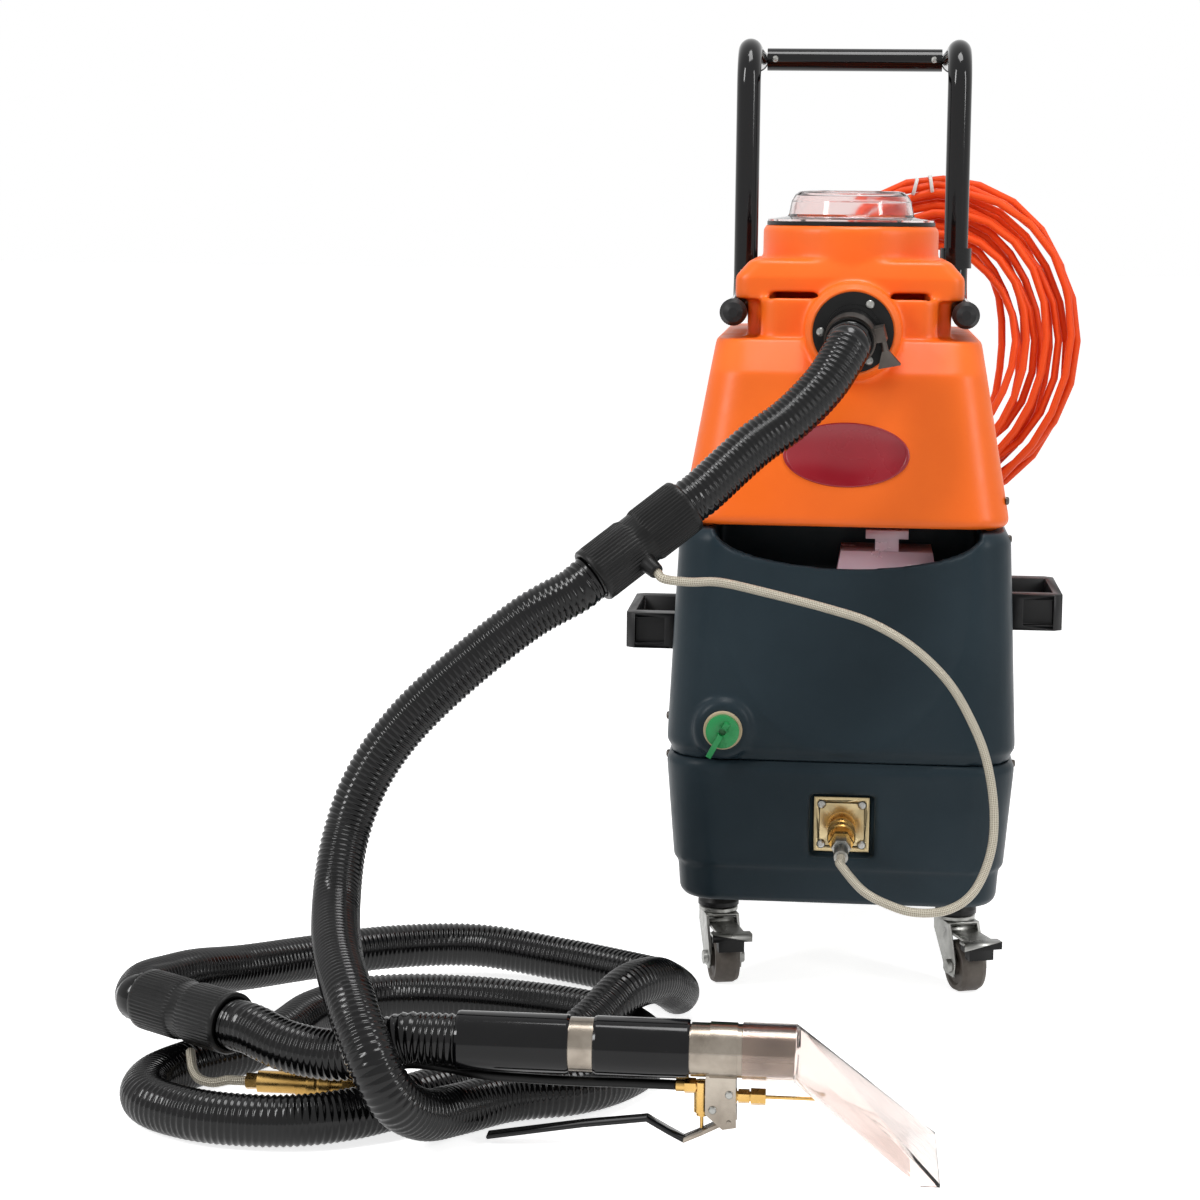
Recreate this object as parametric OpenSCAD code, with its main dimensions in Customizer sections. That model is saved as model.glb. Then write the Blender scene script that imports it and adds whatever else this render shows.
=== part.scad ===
// Spot extractor: a two-tank carpet and upholstery cleaner on casters, with its
// vacuum hose, solution hose, upholstery wand and mains lead. Millimetres.
// X runs across the machine, the front faces -Y and Z points up from the floor.

/* [Casing] */
// Width of the casing across the seam between base and solution tank
body_w = 328; // [316:1:340]
// Depth of the casing from front to rear
body_d = 480; // [470:1:500]
// Height of the underside of the casing above the floor
base_z = 102; // [100:1:106]
// Height of the base housing
base_h = 138; // [134:1:146]
// Height of the lower skirt of the base housing
skirt_h = 36; // [28:1:44]
// Shadow gap at the seam
seam_gap = 4; // [3:0.5:5]
// Height of the solution tank
tank_h = 211; // [205:1:220]
// Wall of the moulded tanks and of the base housing
wall = 5; // [4:0.5:6]
// Radius of the vertical corners of the casing
corner_r = 45; // [38:1:52]
// How far the scoop goes into the front of the solution tank
scoop_depth = 32; // [26:1:36]
// Width of the mouth under the recovery tank
mouth_w = 248; // [236:1:256]
// How far the front lip of the mouth dips
lip_dip = 36; // [30:1:42]

/* [Recovery tank] */
// Width of the recovery tank at its foot
recovery_w = 308; // [300:1:314]
// Height of its tapered lower part
recovery_lower_h = 141; // [136:1:146]
// Height of the sloping part above it
recovery_slope_h = 31; // [28:1:36]
// Height of the waist between the sloping part and the shoulder
waist_h = 37.5; // [34:0.5:42]
// Height of the shoulder block
shoulder_h = 37; // [32:1:42]
// Diameter of the neck that carries the lid
neck_d = 171; // [164:1:176]
// Height of the neck above the shoulder
neck_h = 33; // [28:1:40]
// Diameter of the raised boss round the vacuum inlet
inlet_boss_d = 90; // [84:1:94]
// Diameter of the clear dome in the lid
dome_d = 122; // [112:1:126]

/* [Handle and wheels] */
// Diameter of the handle tubes
tube_d = 25; // [22:0.5:26]
// Distance from the middle of the machine to each handle tube
handle_x = 110; // [108:0.5:114]
// Height of the crossbar above the floor
crossbar_z = 920; // [880:1:960]
// Diameter of the rear wheels
rear_wheel_d = 180; // [160:1:186]
// Width of the rear wheels
rear_wheel_w = 34; // [28:1:36]
// Diameter of the axle
axle_d = 16; // [12:0.5:18]
// Diameter of the caster wheels
caster_wheel_d = 50; // [46:1:54]
// Width of the caster wheels
caster_wheel_w = 24; // [20:0.5:26]
// Distance of each caster wheel axle behind its swivel
caster_trail = 25; // [20:0.5:28]
// Depth of each carry handle beside the tank
carry_reach = 57; // [48:1:60]

/* [Hoses and cord] */
// Outside diameter of the ribbed vacuum hose
hose_d = 42; // [40:0.5:43]
// Bore of the vacuum hose
hose_bore = 30; // [28:0.5:31]
// Depth of the ribs of the vacuum hose
rib_depth = 1.5; // [1:0.25:2]
// Outside diameter of the hose cuffs
cuff_d = 52; // [50:0.5:54]
// Length of each hose cuff
cuff_len = 106; // [100:1:112]
// Diameter of the braided solution hose
solution_d = 8; // [7:0.25:9]
// Diameter of the mains lead
cord_d = 8.5; // [8:0.25:9]
// Number of turns in each of the four layers of the wound lead
coil_turns = 3; // [2:1:3]

/* [Wand] */
// Outside diameter of the wand tube
wand_d = 44; // [42:0.5:45]
// Height of the wand's axis above the floor
wand_z = 84; // [82:0.5:87]
// Width of the slot in the wand head
head_slot_w = 120; // [110:1:126]

/* [Hidden] */
$fn = 72;

// Clearances
running_fit = 0.05;
near_gap = 0.3;
edge_r = 6;

// Heights that follow from the casing
seam_z = base_z + base_h;
tank_z = seam_z + seam_gap;
tank_top = tank_z + tank_h;
recovery_foot_h = 3;
recovery_z = tank_top + recovery_foot_h;
slope_z = recovery_z + recovery_lower_h;
ledge_z = slope_z + recovery_slope_h;
shoulder_z = ledge_z + waist_h;
neck_z = shoulder_z + shoulder_h;
neck_top = neck_z + neck_h;
tube_r = tube_d / 2;
tube_z = shoulder_z - tube_r - near_gap;

// Half widths of the casing at its main heights
half_w = body_w / 2;
base_draft = 14;
tank_draft = 10;
front_draft = 17;
foot_half = recovery_w / 2;
waist_half = handle_x - tube_r - near_gap;
neck_y = 190;

// Where the machine's origin lies: below the middle of the machine and its wand
wand_y = -385;
wand_start = -302;
head_front = wand_y - head_slot_w / 2;
hook_rear = 622;
tube_rear = 615;
tube_front = 100;
end_cap_len = 15;
bend_r = 38;
grip_y = 388;
carry_x = half_w - 9;
shift_x = -(wand_start + carry_x + carry_reach) / 2;
shift_y = -(head_front + tube_rear + end_cap_len) / 2;

module place() {
  translate([shift_x, shift_y, 0]) children();
}

// ---------- Helpers ----------

corner_steps = 10;

// Points of a rounded outline: half width, front, rear, height, corner radius
function section_outline(s) =
  let (r = s[4], x = s[0] - r, y0 = s[1] + r, y1 = s[2] - r,
    corners = [[x, y0, -90], [x, y1, 0], [-x, y1, 90], [-x, y0, 180]])
  [for (c = corners, k = [0:corner_steps]) let (a = c[2] + 90 * k / corner_steps)
    [c[0] + r * cos(a), c[1] + r * sin(a), s[3]]];

// A closed solid through the rounded outlines, from the lowest to the highest
module lofted(sections) {
  sides = 4 * (corner_steps + 1);
  last = (len(sections) - 1) * sides;
  bottom = [for (k = [1:sides - 2]) [0, k, k + 1]];
  top = [for (k = [1:sides - 2]) [last, last + k + 1, last + k]];
  polyhedron([for (s = sections, p = section_outline(s)) p],
    concat(side_faces(0, len(sections), sides, false), bottom, top));
}

module block(low, high) {
  translate(low) cube(high - low);
}

// A cylinder that runs along +Y from the point p
module rod_y(p, r, length) {
  translate(p) rotate([-90, 0, 0]) cylinder(r = r, h = length);
}

// A cylinder that runs along +X from the point p
module rod_x(p, r, length) {
  translate(p) rotate([0, 90, 0]) cylinder(r = r, h = length);
}

// Turns +Z to the direction d
module aim(d) {
  rotate([0, acos(d.z / norm(d)), atan2(d.y, d.x)]) children();
}

module ring(r_out, r_in, h) {
  difference() {
    cylinder(r = r_out, h = h);
    translate([0, 0, -1]) cylinder(r = r_in, h = h + 2);
  }
}

module mirrored(side) {
  if (side < 0) mirror([1, 0, 0]) children();
  else children();
}

// A pan head on the face z = 0
module pan_head(r, h) {
  rotate_extrude()
    polygon([[0, 0], [r, 0], [r, h * 0.45], [r * 0.8, h * 0.85], [r * 0.45, h], [0, h]]);
}

// ---------- Swept tubes ----------

function unit(v) = v / norm(v);

function spline_point(p, i, t) =
  let (n = len(p) - 1, a = p[max(i - 1, 0)], b = p[i], c = p[i + 1], d = p[min(i + 2, n)])
  0.5 * (2 * b + (c - a) * t + (2 * a - 5 * b + 4 * c - d) * t * t
    + (3 * b - a - 3 * c + d) * t * t * t);

// A smooth line through the points, in n steps from each to the next
function smooth_line(p, n) =
  [for (i = [0:len(p) - 2], k = [0:n - 1]) spline_point(p, i, k / n), p[len(p) - 1]];

// Distance along the line at each of its points
function distances(q) =
  [for (i = 0, s = 0; i < len(q);
    s = s + (i < len(q) - 1 ? norm(q[i + 1] - q[i]) : 0), i = i + 1) s];

// The line again, in n equal steps along its length
function even_steps(q, n) =
  let (s = distances(q), total = s[len(s) - 1],
    tables = [for (axis = [0:2]) [for (i = [0:len(q) - 1]) [s[i], q[i][axis]]]])
  [for (k = [0:n]) let (at = total * k / n) [for (axis = [0:2]) lookup(at, tables[axis])]];

function line_length(q) = let (s = distances(q)) s[len(s) - 1];

function tangents(q) =
  [for (i = [0:len(q) - 1]) unit(q[min(i + 1, len(q) - 1)] - q[max(i - 1, 0)])];

function square_to(t, n) = unit(n - (n * t) * t);

// Directions square to the line that turn with it and never twist
function carried_normals(t, first) =
  [for (i = 0, n = square_to(t[0], first); i < len(t);
    i = i + 1, n = i < len(t) ? square_to(t[i], n) : n) n];

function ring_points(q, t, n, radii, sides) =
  [for (i = [0:len(q) - 1]) let (b = cross(t[i], n[i]))
    for (k = [0:sides - 1]) let (a = 360 * k / sides)
      q[i] + radii[i] * (cos(a) * n[i] + sin(a) * b)];

// Triangles between ring i and ring i + 1; rings start at point number first
function side_faces(first, rings, sides, inward) =
  [for (i = [0:rings - 2], k = [0:sides - 1])
    let (a = first + i * sides + k, b = first + i * sides + (k + 1) % sides,
      c = b + sides, d = a + sides)
    for (f = inward ? [[a, b, c], [a, c, d]] : [[a, c, b], [a, d, c]]) f];

// A solid tube along the points q, with a radius for each
module solid_tube(q, radii, sides, first = [0, 0, 1]) {
  t = tangents(q);
  n = carried_normals(t, first);
  rings = len(q);
  start_cap = [for (k = [1:sides - 2]) [0, k, k + 1]];
  last = (rings - 1) * sides;
  end_cap = [for (k = [1:sides - 2]) [last, last + k + 1, last + k]];
  polyhedron(ring_points(q, t, n, radii, sides),
    concat(side_faces(0, rings, sides, false), start_cap, end_cap));
}

// A hose with a bore: each rib is one wide and one narrow ring, and the bore has a ring a rib
module ribbed_hose(q, ribs, sides, r_rib, r_groove, r_bore, first = [0, 0, 1]) {
  outer = even_steps(q, 2 * ribs);
  t = tangents(outer);
  n = carried_normals(t, first);
  wide = [for (i = [0:2 * ribs]) i % 2 == 0 ? r_rib : r_groove];
  pick = [for (i = [0:ribs]) 2 * i];
  inner_points = ring_points([for (i = pick) outer[i]], [for (i = pick) t[i]],
    [for (i = pick) n[i]], [for (i = pick) r_bore], sides);
  count = (2 * ribs + 1) * sides;
  last_outer = 2 * ribs * sides;
  last_inner = count + ribs * sides;
  start_face = [for (k = [0:sides - 1]) let (j = (k + 1) % sides)
    for (f = [[k, j, count + j], [k, count + j, count + k]]) f];
  end_face = [for (k = [0:sides - 1]) let (j = (k + 1) % sides)
    for (f = [[last_outer + k, last_inner + j, last_outer + j],
      [last_outer + k, last_inner + k, last_inner + j]]) f];
  polyhedron(concat(ring_points(outer, t, n, wide, sides), inner_points),
    concat(side_faces(0, 2 * ribs + 1, sides, false), side_faces(count, ribs + 1, sides, true),
      start_face, end_face));
}

// ---------- Base housing and what it holds ----------

well_x = half_w - 52;
well_y = body_d - 130;
well_top = rear_wheel_d + 34;
plate_t = 3;
plate_z = base_z + 1;
ledge_h = plate_t + 1;
axle_y = body_d - 30;
bracket_x = well_x - 20;
bracket_half = 2.5;
axle_z = rear_wheel_d / 2;
recess = 60;
recess_depth = 14;
coupler_x = 3;
coupler_z = 180;
nipple_r = 8.5;
switch_z = 190;
switch_xs = [-40, 0];
switch_w = 20;
switch_h = 28;
switch_gap = 1;
rocker_tilt = 8;
gland_x = 75;
gland_r = 8;
gland_flange_r = 12;
gland_sink = 4;
caster_x = 116;
caster_y = 122;
stem_r = 5;

module wheel_wells(grow) {
  for (side = [-1, 1]) mirrored(side)
    block([well_x - grow, well_y - grow, 0], [half_w + 40, body_d + 40, well_top + grow]);
}

module base_cavity() {
  difference() {
    union() {
      lofted([
        [half_w - base_draft - 14, 26, body_d - 22, base_z + ledge_h, corner_r - 20],
        [half_w - wall - 2, wall + 2, body_d - wall - 2, seam_z + 1, corner_r - wall]
      ]);
      lofted([
        [half_w - base_draft - 9, 21, body_d - 17, base_z - 1, corner_r - 16],
        [half_w - base_draft - 9, 21, body_d - 17, base_z + ledge_h, corner_r - 16]
      ]);
    }
    wheel_wells(wall);
    block([coupler_x - recess / 2 - wall, 0, coupler_z - recess / 2 - wall],
      [coupler_x + recess / 2 + wall, recess_depth + wall, coupler_z + recess / 2 + wall]);
  }
}

module base_housing() {
  color([0.25, 0.3, 0.33]) place() difference() {
    union() {
      lofted([
        [half_w - base_draft - 5, 17, body_d - 13, base_z, corner_r - 12],
        [half_w - base_draft, 12, body_d - 8, base_z + edge_r, corner_r - 8],
        [half_w - base_draft + 2, 9, body_d - 7, base_z + skirt_h, corner_r - 8]
      ]);
      lofted([
        [half_w - 8, 5, body_d - 4, base_z + skirt_h, corner_r - 2],
        [half_w, 0, body_d, seam_z - edge_r, corner_r],
        [half_w - 4, 4, body_d - 4, seam_z, corner_r - 4]
      ]);
    }
    base_cavity();
    wheel_wells(0);
    block([coupler_x - recess / 2, -1, coupler_z - recess / 2],
      [coupler_x + recess / 2, recess_depth, coupler_z + recess / 2]);
    rod_y([coupler_x, 0, coupler_z], nipple_r + running_fit, 2 * recess_depth);
    block([-78, -1, seam_z - 7], [85, wall - 1, seam_z + 1]);
    for (x = switch_xs)
      block([x - switch_w / 2 - switch_gap / 2, body_d - 20, switch_z - switch_h / 2 - switch_gap],
        [x + switch_w / 2 + switch_gap / 2, body_d + 1, switch_z + switch_h / 2 + switch_gap]);
    rod_y([gland_x, body_d - 20, switch_z], gland_r + running_fit, 21);
    rod_y([gland_x, body_d - gland_sink, switch_z], gland_flange_r + near_gap, 2 * gland_sink);
  }
}

module chassis_plate() {
  inset = base_draft + 9 + near_gap;
  color("silver") place() difference() {
    union() {
      difference() {
        lofted([
          [half_w - inset, 21 + near_gap, body_d - 17 - near_gap, plate_z, corner_r - 17],
          [half_w - inset, 21 + near_gap, body_d - 17 - near_gap, plate_z + plate_t, corner_r - 17]
        ]);
        wheel_wells(wall + near_gap);
      }
      for (side = [-1, 1])
        block([side * bracket_x - bracket_half, axle_y - 18, axle_z - 14],
          [side * bracket_x + bracket_half, axle_y + 12, plate_z]);
    }
    rod_x([-half_w, axle_y, axle_z], axle_d / 2 + running_fit, 2 * half_w);
    for (side = [-1, 1])
      translate([side * caster_x, caster_y, base_z]) cylinder(r = stem_r + running_fit, h = 10);
  }
}

motor_r = 68;
motor_y = 290;
pipe_r = 19;
motor_top = seam_z - 6;
motor_foot_h = 46;
motor_body_h = 50;

module vacuum_motor() {
  color("dimgray") place() translate([0, motor_y, 0]) difference() {
    union() {
      translate([0, 0, plate_z + plate_t]) cylinder(r = motor_r - 20, h = motor_foot_h + 10);
      translate([0, 0, plate_z + plate_t + motor_foot_h]) cylinder(r = motor_r, h = motor_body_h);
      translate([0, 0, motor_top - 34]) cylinder(r = pipe_r + 4, h = 34);
    }
    translate([0, 0, motor_top - 25]) cylinder(r = pipe_r - 3, h = 40);
  }
}

module solution_pump() {
  color([0.15, 0.15, 0.17]) place() {
    rod_x([-100, 110, 158], 28, 90);
    block([-10, 78, 126], [32, 142, 190]);
    for (x = [-85, -35]) block([x, 92, plate_z + plate_t], [x + 12, 128, 132]);
  }
}

// ---------- Solution tank ----------

scoop_half = 138;
scoop_drop = 190;
scoop_back = 40;
tray_rear = 138;
tray_floor = tank_top - 53;
mouth_x = 3;
fill_x = 40;
fill_y = 88;
fill_r = 30;
drain_x = -109;
drain_z = tank_z + 25.5;
drain_boss_r = 28.5;
drain_boss_front = -5;
drain_bore_r = 10;
drain_bore_deep = 34;
seal_t = 2;
lip_y = scoop_depth + wall;
tunnel_r = pipe_r + near_gap;

// The ellipsoid that scoops out the front, grown by a margin
module scoop(grow) {
  front_cut = scoop_back + 6;
  reach = scoop_back + scoop_depth;
  stretch = 1 / sqrt(1 - pow(front_cut / reach, 2));
  translate([mouth_x, -scoop_back, tank_top])
    scale([scoop_half * stretch + grow, reach + grow, scoop_drop * stretch + grow] / 100)
      sphere(r = 100, $fn = 64);
}

module tray(grow) {
  block([mouth_x - mouth_w / 2 - grow, lip_y - grow, tray_floor - grow],
    [mouth_x + mouth_w / 2 + grow, tray_rear + grow, tank_top + 1]);
}

module solution_tank() {
  color([0.25, 0.3, 0.33]) place() difference() {
    union() {
      difference() {
        lofted([
          [half_w - 5, 5, body_d - 5, tank_z, corner_r - 4],
          [half_w, 0, body_d, tank_z + edge_r + 2, corner_r],
          [half_w - tank_draft + 2, front_draft - 2, body_d - 10, tank_top - edge_r - 3, corner_r],
          [half_w - tank_draft - 4, front_draft + 3, body_d - 15, tank_top, corner_r - 6]
        ]);
        scoop(0);
      }
      rod_y([drain_x, drain_boss_front + 4, drain_z], drain_boss_r, 36);
      translate([drain_x, drain_boss_front, drain_z]) rotate([-90, 0, 0])
        cylinder(r1 = drain_boss_r - 5, r2 = drain_boss_r, h = 4 + running_fit);
      // The tank stands on a rim just inside the top edge of the base
      rim_support();
    }
    difference() {
      lofted([
        [half_w - wall - 3, wall + 3, body_d - wall - 3, tank_z + wall, corner_r - wall],
        [half_w - tank_draft - wall, front_draft + wall, body_d - 10 - wall, tank_top - wall,
          corner_r - wall]
      ]);
      scoop(wall);
      tray(wall);
      translate([0, motor_y, tank_z]) cylinder(r = tunnel_r + wall, h = tank_h);
      rod_y([drain_x, drain_boss_front, drain_z], drain_boss_r, 40);
    }
    tray(0);
    // The lip dips in a shallow half ellipse
    translate([mouth_x, tray_rear - 10, tank_top]) rotate([90, 0, 0])
      linear_extrude(tray_rear + 20) scale([mouth_w / 2 / 100, lip_dip / 100]) circle(r = 100);
    translate([fill_x, fill_y, tray_floor - 2 * wall]) cylinder(r = fill_r, h = 3 * wall);
    translate([0, motor_y, tank_z - 20]) cylinder(r = tunnel_r, h = tank_h + 40);
    rod_y([drain_x, drain_boss_front - 1, drain_z], drain_bore_r, 60);
  }
}

module rim_support() {
  difference() {
    lofted([
      [half_w - wall, wall, body_d - wall, seam_z, corner_r - wall],
      [half_w - wall, wall, body_d - wall, tank_z + 1, corner_r - wall]
    ]);
    lofted([
      [half_w - wall - 12, wall + 12, body_d - wall - 12, seam_z - 1, corner_r - wall - 8],
      [half_w - wall - 12, wall + 12, body_d - wall - 12, tank_z + 2, corner_r - wall - 8]
    ]);
  }
}

lid_w = 94;
lid_t = 27;
lid_top = tank_top - 2;

module fill_lid() {
  color([0.95, 0.85, 0.9]) place() translate([fill_x, 0, 0]) {
    difference() {
      hull() {
        block([-lid_w / 2, fill_y - 38, tray_floor + 4], [lid_w / 2, fill_y + 38, tray_floor + 8]);
        block([-lid_w / 2 + 4, fill_y - 34, tray_floor + 4],
          [lid_w / 2 - 4, fill_y + 34, tray_floor + 4 + lid_t]);
      }
      translate([0, fill_y, tray_floor - 1]) cylinder(r = fill_r - 4, h = 12);
    }
    // Plug that drops into the fill hole, and the rim that stands on the tray
    translate([0, fill_y, tray_floor - 4]) ring(fill_r - 1, fill_r - 4, 9);
    translate([0, fill_y, tray_floor]) ring(fill_r + 6, fill_r - 2, 5);
    // T-shaped pull near the front
    block([-11, fill_y - 31, tray_floor + lid_t], [11, fill_y - 23, lid_top]);
    block([-20, fill_y - 33, lid_top - 8], [20, fill_y - 21, lid_top]);
  }
}

// Quarter-turn drain valve: disc, tab and a stem that turns in the boss
module drain_key() {
  face = drain_boss_front - seal_t;
  color("limegreen") place() difference() {
    union() {
      rod_y([drain_x, face - near_gap - 7, drain_z], 15.5, 7);
      rod_y([drain_x, face - near_gap - 1, drain_z], drain_bore_r - running_fit, drain_bore_deep);
      translate([drain_x, face - near_gap - 11, drain_z]) rotate([0, 28, 0])
        block([-2.5, 0, -27], [2.5, 6, 10]);
    }
    rod_y([drain_x, face - 20, drain_z], 3.5, 18);
  }
}

// ---------- Recovery tank ----------

foot_front = 25;
slope_front = 57;
ledge_front = 80;
shoulder_front = 100;
shoulder_rear = grip_y - bend_r - 2;
slope_half = foot_half - 23;
ledge_half = slope_half - 5;
shoulder_half = handle_x - 1;
shoulder_slope = 14;
waist_front = ledge_front + 6;
waist_front_half = 84;
neck_edge = 4;
inlet_x = 4;
inlet_z = 640;
inlet_front = 32;
inlet_bore = 18;
spout_x = -80;
spout_z = recovery_z + 32;
spout_r = 17;
dump_boss = 24;

module recovery_tank() {
  color([1, 0.4, 0.1]) place() difference() {
    union() {
      // The foot stands behind and beside the tray, which it leaves open
      difference() {
        lofted([
          [foot_half - 12, foot_front + 12, body_d - 22, tank_top, corner_r - 14],
          [foot_half - 12, foot_front + 12, body_d - 22, recovery_z, corner_r - 14]
        ]);
        block([mouth_x - mouth_w / 2 - wall, 0, tank_top - 1],
          [mouth_x + mouth_w / 2 + wall, tray_rear + wall, recovery_z + 1]);
      }
      lofted([
        [foot_half - 4, foot_front + 4, body_d - 14, recovery_z, corner_r - 8],
        [foot_half, foot_front, body_d - 10, recovery_z + edge_r, corner_r - 4],
        [slope_half, slope_front, body_d - 28, slope_z, corner_r - 10],
        [ledge_half, ledge_front, body_d - 40, ledge_z, corner_r - 14]
      ]);
      // The waist leaves a pocket round the end of each handle tube
      for (w = [[waist_front_half, waist_front, 16], [waist_half, tube_front + 14, 2]])
        lofted([
          [w[0], w[1], shoulder_rear, ledge_z - 2, w[2]],
          [w[0], w[1], shoulder_rear, shoulder_z + 2, w[2]]
        ]);
      lofted([
        [shoulder_half, shoulder_front, shoulder_rear, shoulder_z, 14],
        [shoulder_half, shoulder_front, shoulder_rear, neck_z - 16, 14],
        [shoulder_half - shoulder_slope, shoulder_front + 6, shoulder_rear - 10, neck_z, 14]
      ]);
      translate([0, neck_y, neck_z - 4]) cylinder(r = neck_d / 2, h = neck_h + 4 - neck_edge);
      translate([0, neck_y, neck_top - neck_edge])
        cylinder(r1 = neck_d / 2, r2 = neck_d / 2 - neck_edge + 1, h = neck_edge);
      rod_y([inlet_x, inlet_front + 6, inlet_z], inlet_boss_d / 2, 90);
      rod_y([inlet_x, inlet_front, inlet_z], inlet_boss_d / 2 - 4, 90);
      rod_y([spout_x, body_d - 60, spout_z], dump_boss, 56);
    }
    recovery_cavity();
    translate([0, neck_y, neck_z - 10]) cylinder(r = neck_d / 2 - 20, h = neck_h + 20);
    translate([0, motor_y, tank_top - 5]) cylinder(r = tunnel_r, h = 30);
    rod_y([inlet_x, inlet_front - 1, inlet_z], inlet_boss_d / 2 - 7, 3);
    rod_y([inlet_x, inlet_front - 1, inlet_z], inlet_bore, 110);
    rod_y([spout_x, body_d - 90, spout_z], spout_r + running_fit, 100);
  }
}

module recovery_cavity() {
  difference() {
    union() {
      lofted([
        [foot_half - 2 * wall, foot_front + 2 * wall, body_d - 24, recovery_z + wall, corner_r - 14],
        [foot_half - wall - 1, foot_front + wall + 2, body_d - 18, recovery_z + 12, corner_r - 9],
        [slope_half - wall, slope_front + wall, body_d - 34, slope_z - 3, corner_r - 15],
        [ledge_half - wall - 3, ledge_front + wall + 3, body_d - 50, ledge_z - wall, corner_r - 19]
      ]);
      block([-waist_front_half + wall + 3, waist_front + wall, ledge_z - wall - 1],
        [waist_front_half - wall - 3, shoulder_rear - wall, shoulder_z + wall + 1]);
      lofted([
        [shoulder_half - wall, shoulder_front + wall, shoulder_rear - wall, shoulder_z + wall, 10],
        [shoulder_half - wall - shoulder_slope, shoulder_front + 12, shoulder_rear - 16, neck_z - wall, 10]
      ]);
    }
    rod_y([inlet_x, inlet_front + 6, inlet_z], inlet_boss_d / 2, 70);
    rod_y([spout_x, body_d - 40, spout_z], dump_boss, 50);
  }
}

// The rubber spigot leans a little down and to the left
spigot_dir = [-0.12, -0.95, -0.28];
spigot_from = [inlet_x, inlet_front - 3, inlet_z];
spigot_len = 28;
spigot_r = 22.3;
hose_from = spigot_from + spigot_len * unit(spigot_dir);
flange_screws = [60, 180, 300];
flange_screw_ring = 30;

module flange_place(a) {
  translate([inlet_x + flange_screw_ring * cos(a), inlet_front - 3, inlet_z + flange_screw_ring * sin(a)])
    rotate([90, 0, 0]) children();
}

module inlet_flange() {
  color([0.08, 0.08, 0.08]) place() difference() {
    union() {
      rod_y([inlet_x, inlet_front - 3, inlet_z], inlet_boss_d / 2 - 7.5, 5);
      rod_y([inlet_x, inlet_front - 6, inlet_z], spigot_r + 3, 4);
      translate(spigot_from) aim(spigot_dir) cylinder(r = spigot_r, h = spigot_len);
    }
    block([-60, inlet_front + 2, inlet_z - 60], [60, inlet_front + 60, inlet_z + 60]);
    translate(spigot_from - 30 * unit(spigot_dir)) aim(spigot_dir) cylinder(r = hose_bore / 2, h = 60);
    for (a = flange_screws) flange_place(a) translate([0, 0, -8]) cylinder(r = 2.1, h = 9);
  }
}

clamp_w = 12;
clamp_r = 24;

// Worm clamp round the rubber spigot with its wing
module hose_clamp() {
  color("silver") place() translate(hose_from) aim(spigot_dir) translate([0, 0, -clamp_w - 3]) {
    ring(clamp_r, spigot_r + running_fit, clamp_w);
    rotate([0, 0, 12]) {
      translate([-7, clamp_r - 1, 1]) cube([14, 10, 10]);
      translate([7, clamp_r + 5, 6]) rotate([0, 90, 0]) cylinder(r = 3, h = 10);
      hull() {
        translate([17, clamp_r + 2, 4.5]) cube([1, 6, 3]);
        translate([32, clamp_r - 5, 4.5]) cube([1, 21, 3]);
      }
    }
  }
}

gasket_t = 3.5;
gasket_in = neck_d / 2 - 19;
lid_r = neck_d / 2 - 4.5;

module lid_gasket() {
  color([0.08, 0.08, 0.08]) place() translate([0, neck_y, neck_top])
    ring(lid_r + 1, gasket_in, gasket_t);
}

// Lid with a low sloping brim and a steep dome; its rim drops into the gasket
module lid_dome() {
  r = dome_d / 2;
  h = 30;
  color([0.95, 0.9, 0.88]) place() translate([0, neck_y, neck_top + gasket_t]) rotate_extrude()
    difference() {
      union() {
        polygon([[0, 0], [lid_r, 0], [lid_r, 2], [r + 1.5, 5], [r, 7], [r - 2.5, 20], [r - 6, 26],
          [r - 10, 29], [r - 15, h], [0, h]]);
        translate([gasket_in - 3.5, -gasket_t + 0.5]) square([3, gasket_t]);
      }
      polygon([[-1, -1], [r - 3, -1], [r - 3, 6], [r - 5.5, 18.5], [r - 8.5, 24], [r - 11.5, 26],
        [r - 15.5, h - 3], [-1, h - 3]]);
    }
}

pipe_top = shoulder_z + 3;
float_r = 16;
float_y = motor_y - 56;
cage_floor = pipe_top - 78;
cage_r = 20;
port_r = 12;

module standpipe() {
  color([0.9, 0.9, 0.88]) place() difference() {
    union() {
      translate([0, motor_y, motor_top]) cylinder(r = pipe_r, h = pipe_top - motor_top + 1);
      translate([0, 0, pipe_top]) linear_extrude(20) hull() {
        translate([0, motor_y]) circle(r = 24);
        translate([0, float_y]) circle(r = 24);
      }
      for (a = [0:120:240])
        translate([cage_r * sin(a), float_y + cage_r * cos(a), cage_floor])
          cylinder(r = 2, h = pipe_top - cage_floor + 1, $fn = 24);
      translate([0, float_y, cage_floor]) ring(cage_r + 3, 10, 3);
    }
    translate([0, motor_y, motor_top - 1]) cylinder(r = pipe_r - 3, h = pipe_top - motor_top + 8);
    translate([0, 0, pipe_top + 3]) linear_extrude(14) hull() {
      translate([0, motor_y]) circle(r = 21);
      translate([0, float_y]) circle(r = 21);
    }
    translate([0, float_y, pipe_top - 1]) cylinder(r = port_r, h = 10);
  }
}

module float_ball() {
  rest_z = cage_floor + 3 + sqrt(float_r * float_r - 100);
  color("white") place() translate([0, float_y, rest_z]) sphere(r = float_r - near_gap);
}

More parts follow.
